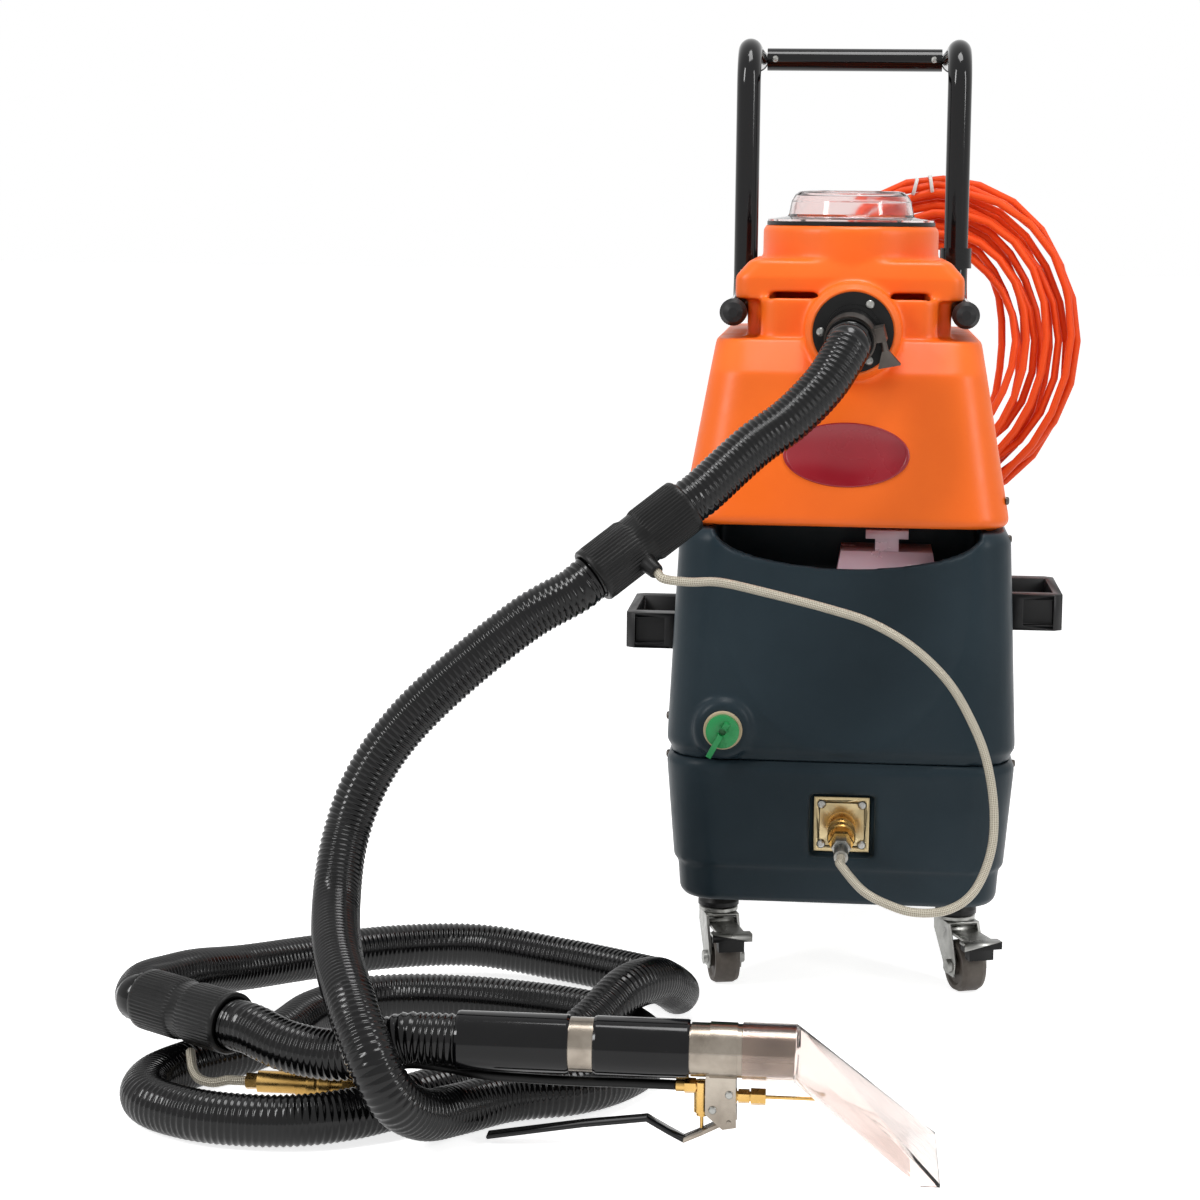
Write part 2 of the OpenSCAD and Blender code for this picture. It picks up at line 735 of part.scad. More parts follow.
// Dump valve at the foot of the recovery tank, at the rear
module drain_spout() {
  color([0.1, 0.1, 0.1]) place() difference() {
    union() {
      rod_y([spout_x, body_d - 36, spout_z], spout_r, 40);
      rod_y([spout_x, body_d - 4, spout_z], 22, 34);
      rod_y([spout_x, body_d + 30, spout_z], spout_r, 20);
      translate([spout_x, body_d + 13, spout_z]) cylinder(r = 8, h = 27);
    }
    rod_y([spout_x, body_d - 40, spout_z], spout_r - 4, 100);
    translate([spout_x, body_d + 13, spout_z + 8]) cylinder(r = 4 + running_fit, h = 30);
  }
}

module drain_lever() {
  top = spout_z + 27;
  color("crimson") place() {
    translate([spout_x, body_d + 13, top + near_gap]) cylinder(r = 9, h = 5);
    translate([spout_x, body_d + 13, top - 10]) cylinder(r = 4, h = 12);
    block([spout_x - 6, body_d + 13, top + near_gap], [spout_x + 6, body_d + 62, top + near_gap + 4]);
  }
}

// ---------- Handle, carry handles, coupler ----------

crossbar_y = 600;

module tube_corner(r_in) {
  rotate_extrude(angle = 90) translate([bend_r, 0]) difference() {
    circle(r = tube_r);
    if (r_in > 0) circle(r = r_in);
  }
}

module tube_run(length) {
  ring(tube_r, tube_r - 2, length);
}

module handle_tube(side) {
  color([0.07, 0.07, 0.08]) place() mirrored(side) translate([handle_x, 0, 0]) {
    translate([0, tube_front, tube_z]) rotate([-90, 0, 0]) tube_run(grip_y - bend_r - tube_front);
    translate([0, grip_y - bend_r, tube_z + bend_r]) rotate([0, 90, 0]) tube_corner(tube_r - 2);
    translate([0, grip_y, tube_z + bend_r]) tube_run(crossbar_z - bend_r - tube_z - bend_r);
    translate([0, grip_y + bend_r, crossbar_z - bend_r]) rotate([0, 90, 0]) rotate([0, 0, 180])
      tube_corner(tube_r - 2);
    translate([0, grip_y + bend_r, crossbar_z]) rotate([-90, 0, 0]) tube_run(tube_rear - grip_y - bend_r);
  }
}

module handle_crossbar() {
  color([0.07, 0.07, 0.08]) place() difference() {
    rod_x([-handle_x + tube_r, crossbar_y, crossbar_z], tube_r, 2 * (handle_x - tube_r));
    rod_x([-handle_x, crossbar_y, crossbar_z], tube_r - 2, 2 * handle_x);
  }
}

// Domed plugs in the open ends of the two tubes, front and rear
module handle_end_caps() {
  color([0.05, 0.05, 0.05]) place() for (side = [-1, 1]) mirrored(side) {
    translate([handle_x, tube_front, tube_z]) rotate([90, 0, 0]) end_cap();
    translate([handle_x, tube_rear, crossbar_z]) rotate([-90, 0, 0]) end_cap();
  }
}

module end_cap() {
  rotate_extrude() polygon([[0, -8], [tube_r - 2.3, -8], [tube_r - 2.3, 0], [tube_r + 0.5, 0],
    [tube_r + 0.5, 8], [tube_r - 3, 13], [tube_r - 8, end_cap_len], [0, end_cap_len]]);
}

carry_zs = [322, 349];
carry_h = 35;
carry_y = 205;
carry_len = 140;
carry_bar = 9;
carry_end = 20;

// Loop with a pocket in the front and rear of its end bars; the left one sits lower
module carry_handle(side) {
  low = carry_zs[side < 0 ? 0 : 1];
  out = carry_x + carry_reach;
  front = carry_y - carry_len / 2;
  color([0.07, 0.07, 0.07]) place() mirrored(side) difference() {
    translate([0, 0, low]) linear_extrude(carry_h) difference() {
      polygon([[carry_x - 6, front], [out - 8, front], [out, front + 6], [out, front + carry_len - 6],
        [out - 8, front + carry_len], [carry_x - 6, front + carry_len]]);
      translate([carry_x + 6, front + carry_end])
        square([carry_reach - 6 - carry_bar, carry_len - 2 * carry_end]);
    }
    for (y = [front - 1, front + carry_len - 9])
      block([out - 38, y, low + 5], [out - 9, y + 10, low + carry_h - 5]);
    // The foot follows the side of the tank
    tank_side();
  }
}

// Half-space inside the side wall of the solution tank
module tank_side() {
  low = half_w + near_gap / 2;
  high = half_w - tank_draft + 2 + near_gap / 2;
  translate([0, body_d / 2 + 200, 0]) rotate([90, 0, 0]) linear_extrude(400)
    polygon([[0, tank_z], [low, tank_z], [low, tank_z + edge_r + 2],
      [high, tank_top - edge_r - 3], [0, tank_top]]);
}

plate_w = 52;
plate_screw = 19;
coupler_tilt = 8;
nipple_len = 44;
barrel_r = 9.4;
collar_rest = 16;

module coupler_place() {
  translate([coupler_x, recess_depth - 3, coupler_z]) rotate([90 + coupler_tilt, 0, 0]) children();
}

module coupler_plate() {
  color("goldenrod") place() difference() {
    block([coupler_x - plate_w / 2, recess_depth - 3, coupler_z - plate_w / 2],
      [coupler_x + plate_w / 2, recess_depth, coupler_z + plate_w / 2]);
    rod_y([coupler_x, 0, coupler_z], nipple_r + running_fit, 2 * recess_depth);
    for (sx = [-1, 1], sz = [-1, 1])
      rod_y([coupler_x + sx * plate_screw, 0, coupler_z + sz * plate_screw], 2.1, 2 * recess_depth);
  }
}

module coupler_nipple() {
  color("goldenrod") place() difference() {
    union() {
      rod_y([coupler_x, recess_depth - 5, coupler_z], nipple_r, 14);
      rod_y([coupler_x, recess_depth - 9, coupler_z], 13, 6);
      coupler_place() translate([0, 0, 2]) cylinder(r = barrel_r, h = nipple_len - 2);
      coupler_place() translate([0, 0, nipple_len]) cylinder(r = 11.5, h = 6, $fn = 6);
    }
    coupler_place() cylinder(r = 3, h = nipple_len + 10);
    rod_y([coupler_x, recess_depth - 1, coupler_z], 3, 20);
  }
}

module coupler_collar() {
  inner = barrel_r + running_fit;
  color([0.75, 0.55, 0.2]) place() coupler_place() translate([0, 0, collar_rest])
    rotate_extrude() polygon([[inner, 0], [12, 0], [13, 2], [13, 7], [12, 9], [13, 11],
      [13, 18], [12, 20], [inner, 20]]);
}

ferrule_from = nipple_len + 6;
ferrule_len = 34;

module hose_ferrule() {
  color("silver") place() coupler_place() translate([0, 0, ferrule_from]) {
    cylinder(r = 9, h = 12, $fn = 6);
    translate([0, 0, 12]) cylinder(r = 6.5, h = ferrule_len - 12);
  }
}

// ---------- Running gear ----------

caster_turn = [15, 22];
race_z = 72;
cheek_x = caster_wheel_w / 2 + 1.8;
cheek_t = 2.5;
caster_r = caster_wheel_d / 2;
pin_r = 4;
fork_top = race_z - near_gap;
pedal_pivot = [-12, 58];
shoe_z = 45;

module caster_place(side) {
  translate([side * caster_x, caster_y, 0]) rotate([0, 0, caster_turn[side < 0 ? 0 : 1]]) children();
}

module caster_cones() {
  color([0.06, 0.06, 0.06]) place() for (side = [-1, 1]) translate([side * caster_x, caster_y, 0]) {
    rotate_extrude() polygon([[0, race_z], [20, race_z], [20, race_z + 4], [17, race_z + 9],
      [15, race_z + 18], [15, plate_z], [0, plate_z]]);
    translate([0, 0, plate_z - 1]) cylinder(r = stem_r, h = plate_t + 8);
    translate([0, 0, race_z - 14]) cylinder(r = stem_r, h = 20);
  }
}

module caster_fork(side) {
  color("silver") place() caster_place(side) {
    difference() {
      union() {
        rotate_extrude() polygon([[0, fork_top - 7.5], [16, fork_top - 7.5], [19, fork_top - 5],
          [19, fork_top - 2], [17, fork_top], [0, fork_top]]);
        for (s = [-1, 1]) translate([s * (cheek_x + cheek_t / 2) - cheek_t / 2, 0, 0]) rotate([90, 0, 90])
          linear_extrude(cheek_t) polygon([[14, fork_top - 7], [-20, fork_top - 7],
            [-caster_trail - 12, caster_r + 6], [-caster_trail - 9, caster_r - 9],
            [-caster_trail + 8, caster_r - 9], [2, caster_r + 14], [14, fork_top - 18]]);
        translate([-cheek_x - cheek_t, -20, fork_top - 8.5]) cube([2 * (cheek_x + cheek_t), 32, 2.5]);
      }
      translate([0, 0, race_z - 20]) cylinder(r = stem_r + running_fit, h = 30);
      rod_x([-30, pedal_pivot[0], pedal_pivot[1]], 2 + running_fit, 60);
    }
    rod_x([-cheek_x - cheek_t - 3, -caster_trail, caster_r], pin_r, 2 * (cheek_x + cheek_t) + 6);
    for (s = [-1, 1]) translate([s * (cheek_x + cheek_t + 2), -caster_trail, caster_r])
      rotate([0, 90, 0]) cylinder(r = 7, h = 4, center = true, $fn = 6);
  }
}

module caster_wheel(side) {
  color([0.33, 0.3, 0.28]) place() caster_place(side) translate([0, -caster_trail, caster_r])
    rotate([0, 90, 0]) rotate_extrude() {
      w = caster_wheel_w / 2;
      polygon([[pin_r + running_fit, -w - 1], [9, -w - 1], [9, -w + 2], [caster_r - 8, -w + 2],
        [caster_r - 6, -w], [caster_r - 2, -w], [caster_r, -w + 4], [caster_r, w - 4],
        [caster_r - 2, w], [caster_r - 6, w], [caster_r - 8, w - 2], [9, w - 2], [9, w + 1],
        [pin_r + running_fit, w + 1]]);
    }
}

module brake_pedal(side) {
  half = cheek_x - near_gap;
  front = -caster_trail - caster_r - 16;
  color("lightgray") place() caster_place(side) {
    rod_x([-cheek_x - cheek_t, pedal_pivot[0], pedal_pivot[1]], 2, 2 * (cheek_x + cheek_t));
    block([-half, front, 55], [half, -9, 57.5]);
    block([-half, -16, 55], [half, -9, 60.5]);
    block([-half - 6, front, 55], [half + 6, front + 12, 57.5]);
    block([-half - 6, front, 50], [half + 6, front + 2, 57.5]);
    // Brake shoe over the front of the wheel
    block([-half + 1, front + 4, shoe_z], [half - 1, -41, 55]);
    block([-half + 1, front + 4, 39], [half - 1, -caster_trail - caster_r - 2, 55]);
  }
}

hub_x = well_x + 4;
axle_nut = 5;

module rear_axle() {
  end = hub_x + rear_wheel_w + 8 + near_gap;
  color("silver") place() {
    rod_x([-end, axle_y, axle_z], axle_d / 2, 2 * end);
    for (side = [-1, 1]) mirrored(side) rod_x([end, axle_y, axle_z], axle_d / 2 + 4, axle_nut);
  }
}

module rear_wheel(side) {
  r = rear_wheel_d / 2;
  w = rear_wheel_w;
  color([0.2, 0.2, 0.2]) place() mirrored(side) translate([hub_x + 4, axle_y, axle_z])
    rotate([0, 90, 0]) difference() {
      rotate_extrude() polygon([[axle_d / 2 + running_fit, -4], [20, -4], [20, 6], [r - 26, 6],
        [r - 22, 0], [r - 5, 0], [r, 5], [r, w - 5], [r - 5, w], [r - 22, w], [r - 26, w - 6],
        [20, w - 6], [20, w + 4], [axle_d / 2 + running_fit, w + 4]]);
      for (a = [0:60:300]) rotate([0, 0, a]) translate([(r - 6) / 2, 0, -1]) cylinder(r = 11, h = w + 4);
    }
}

// ---------- Rear controls, cord gland and hook ----------

// Rocker that leans to its off side at rest
module rocker(x, c) {
  color(c) place() translate([x, body_d - 6, switch_z]) rotate([-rocker_tilt, 0, 0]) {
    translate([-switch_w / 2, 0, 0]) rotate([90, 0, 90]) linear_extrude(switch_w)
      polygon([[-6, -switch_h / 2], [2, -switch_h / 2], [5, -4], [4, 0], [5, 4],
        [2, switch_h / 2], [-6, switch_h / 2]]);
    rod_x([-switch_w / 2 - 0.4, 0, 0], 2, switch_w + 0.8);
  }
}

module cord_gland() {
  color([0.1, 0.1, 0.1]) place() difference() {
    union() {
      rod_y([gland_x, body_d - 16, switch_z], gland_r, 18);
      rod_y([gland_x, body_d - gland_sink, switch_z], gland_flange_r, gland_sink + 9);
      translate([gland_x, body_d + 9, switch_z]) rotate([-90, 0, 0])
        cylinder(r1 = 9.5, r2 = cord_d / 2 + 1.6, h = gland_len - 9);
    }
    rod_y([gland_x, body_d - 20, switch_z], 2.5, 26);
    rod_y([gland_x, body_d + gland_len - 6, switch_z], cord_d / 2 + running_fit, 20);
  }
}

gland_len = 44;
hook_r = 6;
hook_z = 700;
hook_up = 34;
clamp_top = 14;
// The clamp stays above the bend of the tube
clamp_low = hook_z - tube_z - bend_r - near_gap;

// Cord hook clamped round the right handle tube
module cord_hook() {
  color([0.07, 0.07, 0.08]) place() translate([handle_x, grip_y, hook_z]) {
    difference() {
      union() {
        translate([0, 0, -clamp_low]) cylinder(r = tube_r + 4, h = clamp_low + clamp_top);
        rod_y([0, 10, 0], hook_r, hook_rear - grip_y - 10 - hook_r);
        translate([0, hook_rear - grip_y - hook_r, 0]) cylinder(r = hook_r, h = hook_up);
        translate([0, hook_rear - grip_y - hook_r, 0]) sphere(r = hook_r);
        translate([0, hook_rear - grip_y - hook_r, hook_up]) sphere(r = hook_r);
      }
      translate([0, 0, -20]) cylinder(r = tube_r + near_gap, h = 40);
    }
  }
}

// ---------- Screws ----------

module screws() {
  color("silver") place() {
    for (sx = [-1, 1], sz = [-1, 1])
      translate([coupler_x + sx * plate_screw, recess_depth - 3, coupler_z + sz * plate_screw])
        rotate([90, 0, 0]) {
          pan_head(4, 2.5);
          translate([0, 0, -3]) cylinder(r = 2, h = 4);
        }
    for (a = flange_screws) flange_place(a) {
      pan_head(4, 2.5);
      translate([0, 0, -4]) cylinder(r = 2, h = 5);
    }
    for (side = [-1, 1]) translate([side * (handle_x - tube_r - 9), crossbar_y - tube_r, crossbar_z])
      rotate([90, 0, 0]) pan_head(3.5, 2.5);
    // Screws through the wand bracket
    for (p = bracket_screws) translate([p[0], wand_y - bracket_y, p[1]]) rotate([90, 0, 0])
      pan_head(3.2, 2);
  }
}

// ---------- Vacuum hose ----------

hose_r = hose_d / 2;
floor_gap = 0.5;
hose_z = hose_r + floor_gap;
cuff_web = 8;
cuff_dir_upper = unit([-80, -40, -62]);
cuff_mid_upper = [-180, -130, 461];
cuff_dir_lower = unit([87, -60, 0]);
cuff_mid_lower = [-541, -305, 74];
cuff_stop = cuff_web + near_gap;
cuff_mouth = cuff_len / 2 + 3;
cuff_out = cuff_mouth + 20;
port_dir = [0.66, -0.581, -0.476];
port_base = cuff_mid_upper + 10 * cuff_dir_upper + (cuff_d / 2 - 1) * unit(port_dir);
cuff_port_r = 7;

upper_route = [
  hose_from + near_gap * unit(spigot_dir), hose_from + 10 * unit(spigot_dir),
  hose_from + 20 * unit(spigot_dir), [-20, -42, 597], [-50, -62, 566], [-84, -78, 541],
  cuff_mid_upper - cuff_out * cuff_dir_upper, cuff_mid_upper - cuff_mouth * cuff_dir_upper,
  cuff_mid_upper - cuff_stop * cuff_dir_upper
];

main_route = [
  cuff_mid_upper + cuff_stop * cuff_dir_upper, cuff_mid_upper + cuff_mouth * cuff_dir_upper,
  cuff_mid_upper + cuff_out * cuff_dir_upper,
  [-276, -166, 394], [-332, -177, 348], [-379, -185, 301], [-411, -192, 253], [-428, -205, 202],
  [-428, -244, 157], [-412, -322, 133], [-386, -400, 115], [-363, -440, 84], [-345, -440, 52],
  [-326, -412, 30], [-304, -372, hose_z], [-266, -335, hose_z], [-215, -311, hose_z],
  [-180, -272, hose_z], [-162, -220, hose_z], [-168, -162, hose_z], [-200, -112, hose_z],
  [-250, -84, hose_z], [-322, -66, hose_z], [-390, -64, hose_z], [-440, -84, hose_z],
  [-472, -130, hose_z], [-486, -190, hose_z], [-508, -240, hose_z], [-545, -284, hose_z],
  [-567, -332, hose_z], [-558, -380, hose_z], [-515, -410, hose_z], [-468, -419, hose_z],
  [-426, -414, hose_z], [-388, -394, hose_z], [-353, -360, hose_z], [-321, -323, hose_z],
  [-288, -283, hose_z], [-251, -250, 25], [-212, -212, 46], [-184, -168, 66], [-162, -120, 62],
  [-149, -72, 42], [-147, -28, 25], [-162, 14, hose_z], [-210, 46, hose_z], [-270, 68, 25],
  [-350, 76, 33], [-430, 48, 36], [-496, -12, 40], [-545, -88, 50], [-572, -155, 64],
  [-588, -195, 69], [-599, -232, 73],
  cuff_mid_lower - (cuff_mouth + 10) * cuff_dir_lower, cuff_mid_lower - cuff_mouth * cuff_dir_lower,
  cuff_mid_lower - cuff_stop * cuff_dir_lower
];

tool_route = [
  cuff_mid_lower + cuff_stop * cuff_dir_lower, cuff_mid_lower + cuff_mouth * cuff_dir_lower,
  cuff_mid_lower + cuff_out * cuff_dir_lower, [-446, -366, 67], [-408, -378, 65], [-376, -384, 71],
  [wand_start - 45, wand_y, wand_z - 1], [wand_start - 25, wand_y, wand_z],
  [wand_start - near_gap, wand_y, wand_z]
];

module hose(route, ribs) {
  color([0.08, 0.08, 0.08]) place()
    ribbed_hose(smooth_line(route, 12), ribs, 8, hose_r, hose_r - rib_depth, hose_bore / 2);
}

module hose_upper() {
  hose(upper_route, 7);
}

module hose_main() {
  hose(main_route, 85);
}

module hose_tool() {
  hose(tool_route, 7);
}

module hose_cuffs() {
  color([0.06, 0.06, 0.06]) place() {
    translate(cuff_mid_upper) aim(cuff_dir_upper) hose_cuff();
    // Port that takes the end of the solution hose
    translate(port_base - 1 * unit(port_dir)) aim(port_dir) difference() {
      cylinder(r1 = cuff_port_r + 1, r2 = cuff_port_r - 1, h = 15);
      translate([0, 0, 5 - near_gap]) cylinder(r = solution_d / 2 + running_fit, h = 20);
    }
    translate(cuff_mid_lower) aim(cuff_dir_lower) hose_cuff();
  }
}

module hose_cuff() {
  difference() {
    translate([0, 0, -cuff_len / 2]) rotate_extrude() polygon([[hose_bore / 2, 0],
      [cuff_d / 2 - 1, 0], [cuff_d / 2, 2], [cuff_d / 2, cuff_len / 2 - 4],
      [cuff_d / 2 - 1.5, cuff_len / 2 - 2], [cuff_d / 2 - 1.5, cuff_len / 2 + 2],
      [cuff_d / 2, cuff_len / 2 + 4], [cuff_d / 2, cuff_len - 2], [cuff_d / 2 - 1, cuff_len],
      [hose_bore / 2, cuff_len]]);
    for (s = [0, 180]) rotate([s, 0, 0]) translate([0, 0, cuff_web])
      cylinder(r = hose_r + near_gap, h = cuff_len);
  }
}

// ---------- Solution hose and tool line ----------

ferrule_end = [coupler_x, recess_depth - 3, coupler_z]
  + (ferrule_from + ferrule_len) * [0, -cos(coupler_tilt), -sin(coupler_tilt)];

ferrule_dir = [0, -cos(coupler_tilt), -sin(coupler_tilt)];
solution_route = [
  ferrule_end + 0.2 * ferrule_dir, ferrule_end + 10 * ferrule_dir, ferrule_end + 18 * ferrule_dir,
  [22, -114, 150], [43, -121, 140], [69, -126, 134], [99, -120, 136], [122, -108, 151],
  [136, -98, 184], [138, -92, 222], [130, -90, 267], [114, -90, 305], [93, -92, 338],
  [62, -95, 367], [26, -99, 388], [-12, -107, 401], [-70, -122, 417], [-108, -139, 427],
  [-133, -156, 429], port_base + 24 * unit(port_dir), port_base + 14 * unit(port_dir),
  port_base + 4 * unit(port_dir)
];

module solution_hose() {
  q = even_steps(smooth_line(solution_route, 8), 60);
  color([0.75, 0.72, 0.65]) place()
    solid_tube(q, [for (i = [0:60]) solution_d / 2], 8);
}

tip_x = -484;
brass_y = -345;
brass_z = 29;
brass_r = 10;

module tool_coupler() {
  color("goldenrod") place() {
    translate([tip_x, brass_y, brass_z]) rotate([0, 90, 0]) cylinder(r = 7, h = 10, $fn = 6);
    rod_x([tip_x + 10, brass_y, brass_z], 9, 32);
    rod_x([tip_x + 42, brass_y, brass_z], brass_r, 40);
    translate([tip_x + 82, brass_y, brass_z]) rotate([0, 90, 0]) cylinder(r = 12, h = 12, $fn = 6);
  }
}

module tool_collar() {
  color([0.75, 0.55, 0.2]) place() translate([tip_x + 52, brass_y, brass_z]) rotate([0, 90, 0])
    rotate_extrude() polygon([[brass_r + running_fit, 0], [13, 0], [13.5, 2], [13.5, 7], [12.5, 9],
      [13.5, 11], [13.5, 18], [13, 20], [brass_r + running_fit, 20]]);
}

valve_z = 54;
line_from = [tip_x + 94, brass_y, brass_z];
line_to = [-125, wand_y, valve_z];
line_r = 4;
tool_line_route = [
  line_from + [0.2, 0, 0], line_from + [5, 0, 0], line_from + [8, 0, 0], [-367, -345, 40.5],
  [-352, -350, 50], [-332, -360, 54], [-310, -369, 54.5], [-280, -378, 53.5], [-220, -384, 53.5],
  [-165, wand_y, 54], line_to - [9, 0, 0], line_to - [0.2, 0, 0]
];

module tool_line() {
  q = even_steps(smooth_line(tool_line_route, 6), 28);
  color([0.08, 0.08, 0.08]) place() solid_tube(q, [for (i = [0:28]) line_r], 8);
}

// The machine's own feed hose leaves the coupler and dives under the pile
feed_route = [
  [tip_x - 0.2, brass_y, brass_z], [tip_x - 10, brass_y, brass_z], [tip_x - 16, brass_y, brass_z],
  [-512, -347, 27], [-524, -345, 29], [-531, -338, 34], [-535, -328, 40], [-538, -318, 43]
];

module feed_line() {
  q = even_steps(smooth_line(feed_route, 6), 14);
  color([0.85, 0.85, 0.82]) place() solid_tube(q, [for (i = [0:14]) line_r], 8);
}

// ---------- Wand ----------

tube_end = -30;
tube_in = 18;
wand_tube_r = wand_d / 2 - 2;
barrel_x = -104;
jet_z = 47;
pivot = [-82, 28];
bracket_y = 11;
bracket_t = 2;
bracket_screws = [[-82, 51], [-95, 38]];
sleeve_len = 91;
sleeve_short = 77;
sleeve_gap = 0.5;
band_from = wand_start + sleeve_len + sleeve_gap;
band_len = 19;
sleeve_from = band_from + band_len + sleeve_gap;
collar_from = sleeve_from + sleeve_short + 1;
collar_lens = [15, 22];
socket_from = -72;

module wand_tube() {
  color([0.78, 0.76, 0.74]) place() difference() {
    union() {
      rod_x([wand_start, wand_y, wand_z], wand_tube_r, tube_end - wand_start);
      rod_x([band_from, wand_y, wand_z], wand_d / 2, band_len);
      rod_x([collar_from, wand_y, wand_z], wand_d / 2 - 0.5, socket_from - collar_from);
      rod_x([collar_from + collar_lens[0], wand_y, wand_z], wand_d / 2 + 0.5, collar_lens[1]);
      for (s = [-1, 1]) translate([0, wand_y + s * (bracket_y - bracket_t / 2) + bracket_t / 2, 0])
        rotate([90, 0, 0]) linear_extrude(bracket_t) polygon([[-101, wand_z - 18], [-77, wand_z - 18],
          [-76, 24], [-87, 22], [-101, 34]]);
    }
    rod_x([wand_start - 1, wand_y, wand_z], tube_in, tube_end - wand_start + 2);
    rod_y([pivot[0], wand_y - 20, pivot[1]], 2 + running_fit, 40);
  }
}

module wand_sleeves() {
  color([0.06, 0.06, 0.06]) place() for (span = [[wand_start, sleeve_len], [sleeve_from, sleeve_short]])
    translate([span[0], wand_y, wand_z]) rotate([0, 90, 0]) rotate_extrude()
      polygon([[wand_tube_r + running_fit, 0], [wand_d / 2 + 1, 0], [wand_d / 2 + 1.7, 2],
        [wand_d / 2 + 1.7, span[1] - 2], [wand_d / 2 + 1, span[1]],
        [wand_tube_r + running_fit, span[1]]]);
}

slot_t = 15;
slot_x = 77;

// Fan of the clear head: from the socket down to the slot
module fan(inset) {
  hull() {
    rod_x([tube_end + (inset > 0 ? 2 : -1), wand_y, wand_z], wand_d / 2 + 1.2 - inset, 2);
    block([slot_x - slot_t / 2 + inset * 0.7, wand_y - head_slot_w / 2 + inset, inset > 0 ? -1 : 0.5],
      [slot_x + slot_t / 2 - inset * 0.7, wand_y + head_slot_w / 2 - inset, inset > 0 ? 0 : 3]);
  }
}

module wand_head() {
  color([0.95, 0.88, 0.88]) place() difference() {
    union() {
      rod_x([socket_from, wand_y, wand_z], wand_d / 2 + 1.2, tube_end - socket_from + 1);
      fan(0);
    }
    rod_x([socket_from - 1, wand_y, wand_z], wand_tube_r + running_fit, tube_end - socket_from + 1.3);
    rod_x([tube_end - 1, wand_y, wand_z], tube_in + 1, 4);
    fan(2.5);
  }
}

jet_end = -9;

// Brass valve with its inlet nut, outlet fittings and the thin jet tube
module valve_body() {
  color("goldenrod") place() difference() {
    union() {
      translate([barrel_x, wand_y, 33]) cylinder(r = 6.5, h = 25);
      translate([barrel_x, wand_y, 30]) cylinder(r = 4.5, h = 4);
      rod_x([-125, wand_y, valve_z], 5, 24);
      translate([-118, wand_y, valve_z]) rotate([0, 90, 0]) cylinder(r = 6.5, h = 9, $fn = 6);
      rod_x([barrel_x, wand_y, jet_z], 6, 28);
      block([barrel_x + 7, wand_y - bracket_y + bracket_t, 38], [-80, wand_y + bracket_y - bracket_t, 57]);
      translate([-75, wand_y, jet_z]) rotate([0, 90, 0]) cylinder(r = 6, h = 9, $fn = 6);
      translate([-65, wand_y, jet_z]) rotate([0, 90, 0]) cylinder(r = 7, h = 12, $fn = 6);
      rod_x([-76, wand_y, jet_z], 4, 14);
      rod_x([-54, wand_y, jet_z], 1.5, jet_end + 54);
    }
    translate([barrel_x, wand_y, 28]) cylinder(r = 1.5 + running_fit, h = 20);
  }
}

stem_top = 42;
stem_foot = 19.6;
lever_w = 12;
lever_points = [[-82, 28], [-104, 16.5], [-118, 10], [-130, 16], [-148, 26], [-200, 19], [-276, 6]];

module valve_stem() {
  color("goldenrod") place() translate([barrel_x, wand_y, stem_foot])
    cylinder(r = 1.5, h = stem_top - stem_foot);
}

module trigger_lever() {
  color([0.06, 0.06, 0.06]) place() {
    translate([0, wand_y + lever_w / 2, 0]) rotate([90, 0, 0]) linear_extrude(lever_w)
      for (i = [0:len(lever_points) - 2]) hull() {
        translate(lever_points[i]) circle(r = 1.6, $fn = 24);
        translate(lever_points[i + 1]) circle(r = 1.6, $fn = 24);
      }
    rod_y([pivot[0], wand_y - bracket_y - 1, pivot[1]], 2, 2 * bracket_y + 2);
    rod_y([pivot[0], wand_y - 7, pivot[1]], 5, 14);
  }
}

// ---------- Mains lead ----------

cord_r = cord_d / 2;
coil_mid = [100, 570, 602];
coil_wide = 150;
coil_high = 180;
coil_pitch = 22;
layer_step = cord_d + 1.5;
coil_start = -55;
climb_turns = 0.4;
tail_turns = 0.45;
coil_layers = 4;
layer_turns = coil_turns + climb_turns;
coil_end = coil_layers * coil_turns + (coil_layers - 1) * climb_turns + tail_turns;
coil_rings = 24;

function smooth_step(t) = let (u = min(max(t, 0), 1)) u * u * (3 - 2 * u);

// The lead winds in and out by turns, one loose layer behind the other
function coil_point(u) =
  let (k = min(floor(u / layer_turns), coil_layers - 1), t = u - k * layer_turns,
    run = k < coil_layers - 1 ? min(t, coil_turns) : t, depth = k % 2 == 0 ? run : coil_turns - run,
    layer = k + (k < coil_layers - 1 ? smooth_step((t - coil_turns) / climb_turns) : 0),
    a = coil_start + 360 * u, loose = 1 - 0.8 * pow(max(sin(a), 0), 4),
    w = loose * (6 * sin(2 * a + 97 * layer) + 6 * sin(0.83 * a + 50 * layer)),
    r = w - coil_pitch * depth)
  coil_mid + [(coil_wide + r) * cos(a), layer_step * layer, (coil_high + r) * sin(a)];

coil_steps = round(coil_end * coil_rings);
coil_wound = [for (i = [0:coil_steps]) coil_point(coil_end * i / coil_steps)];
coil_in = unit(coil_wound[1] - coil_wound[0]);
coil_out = unit(coil_wound[coil_steps] - coil_wound[coil_steps - 1]);
coil_line = concat([coil_wound[0] - 12 * coil_in], coil_wound, [coil_wound[coil_steps] + 12 * coil_out]);
coil_first = coil_line[0];
coil_last = coil_line[len(coil_line) - 1];

gland_end = [gland_x, body_d + gland_len, switch_z];
lead_route = [
  gland_end - [0, 5, 0], gland_end + [0, 5, 0], gland_end + [0, 11, 0], [85, 552, 199],
  [108, 562, 224], [136, 567, 266], [158, 569, 320], [169, 570, 380], [170, 570, 415],
  coil_first - 20 * coil_in, coil_first - 10 * coil_in, coil_first - 0.1 * coil_in
];

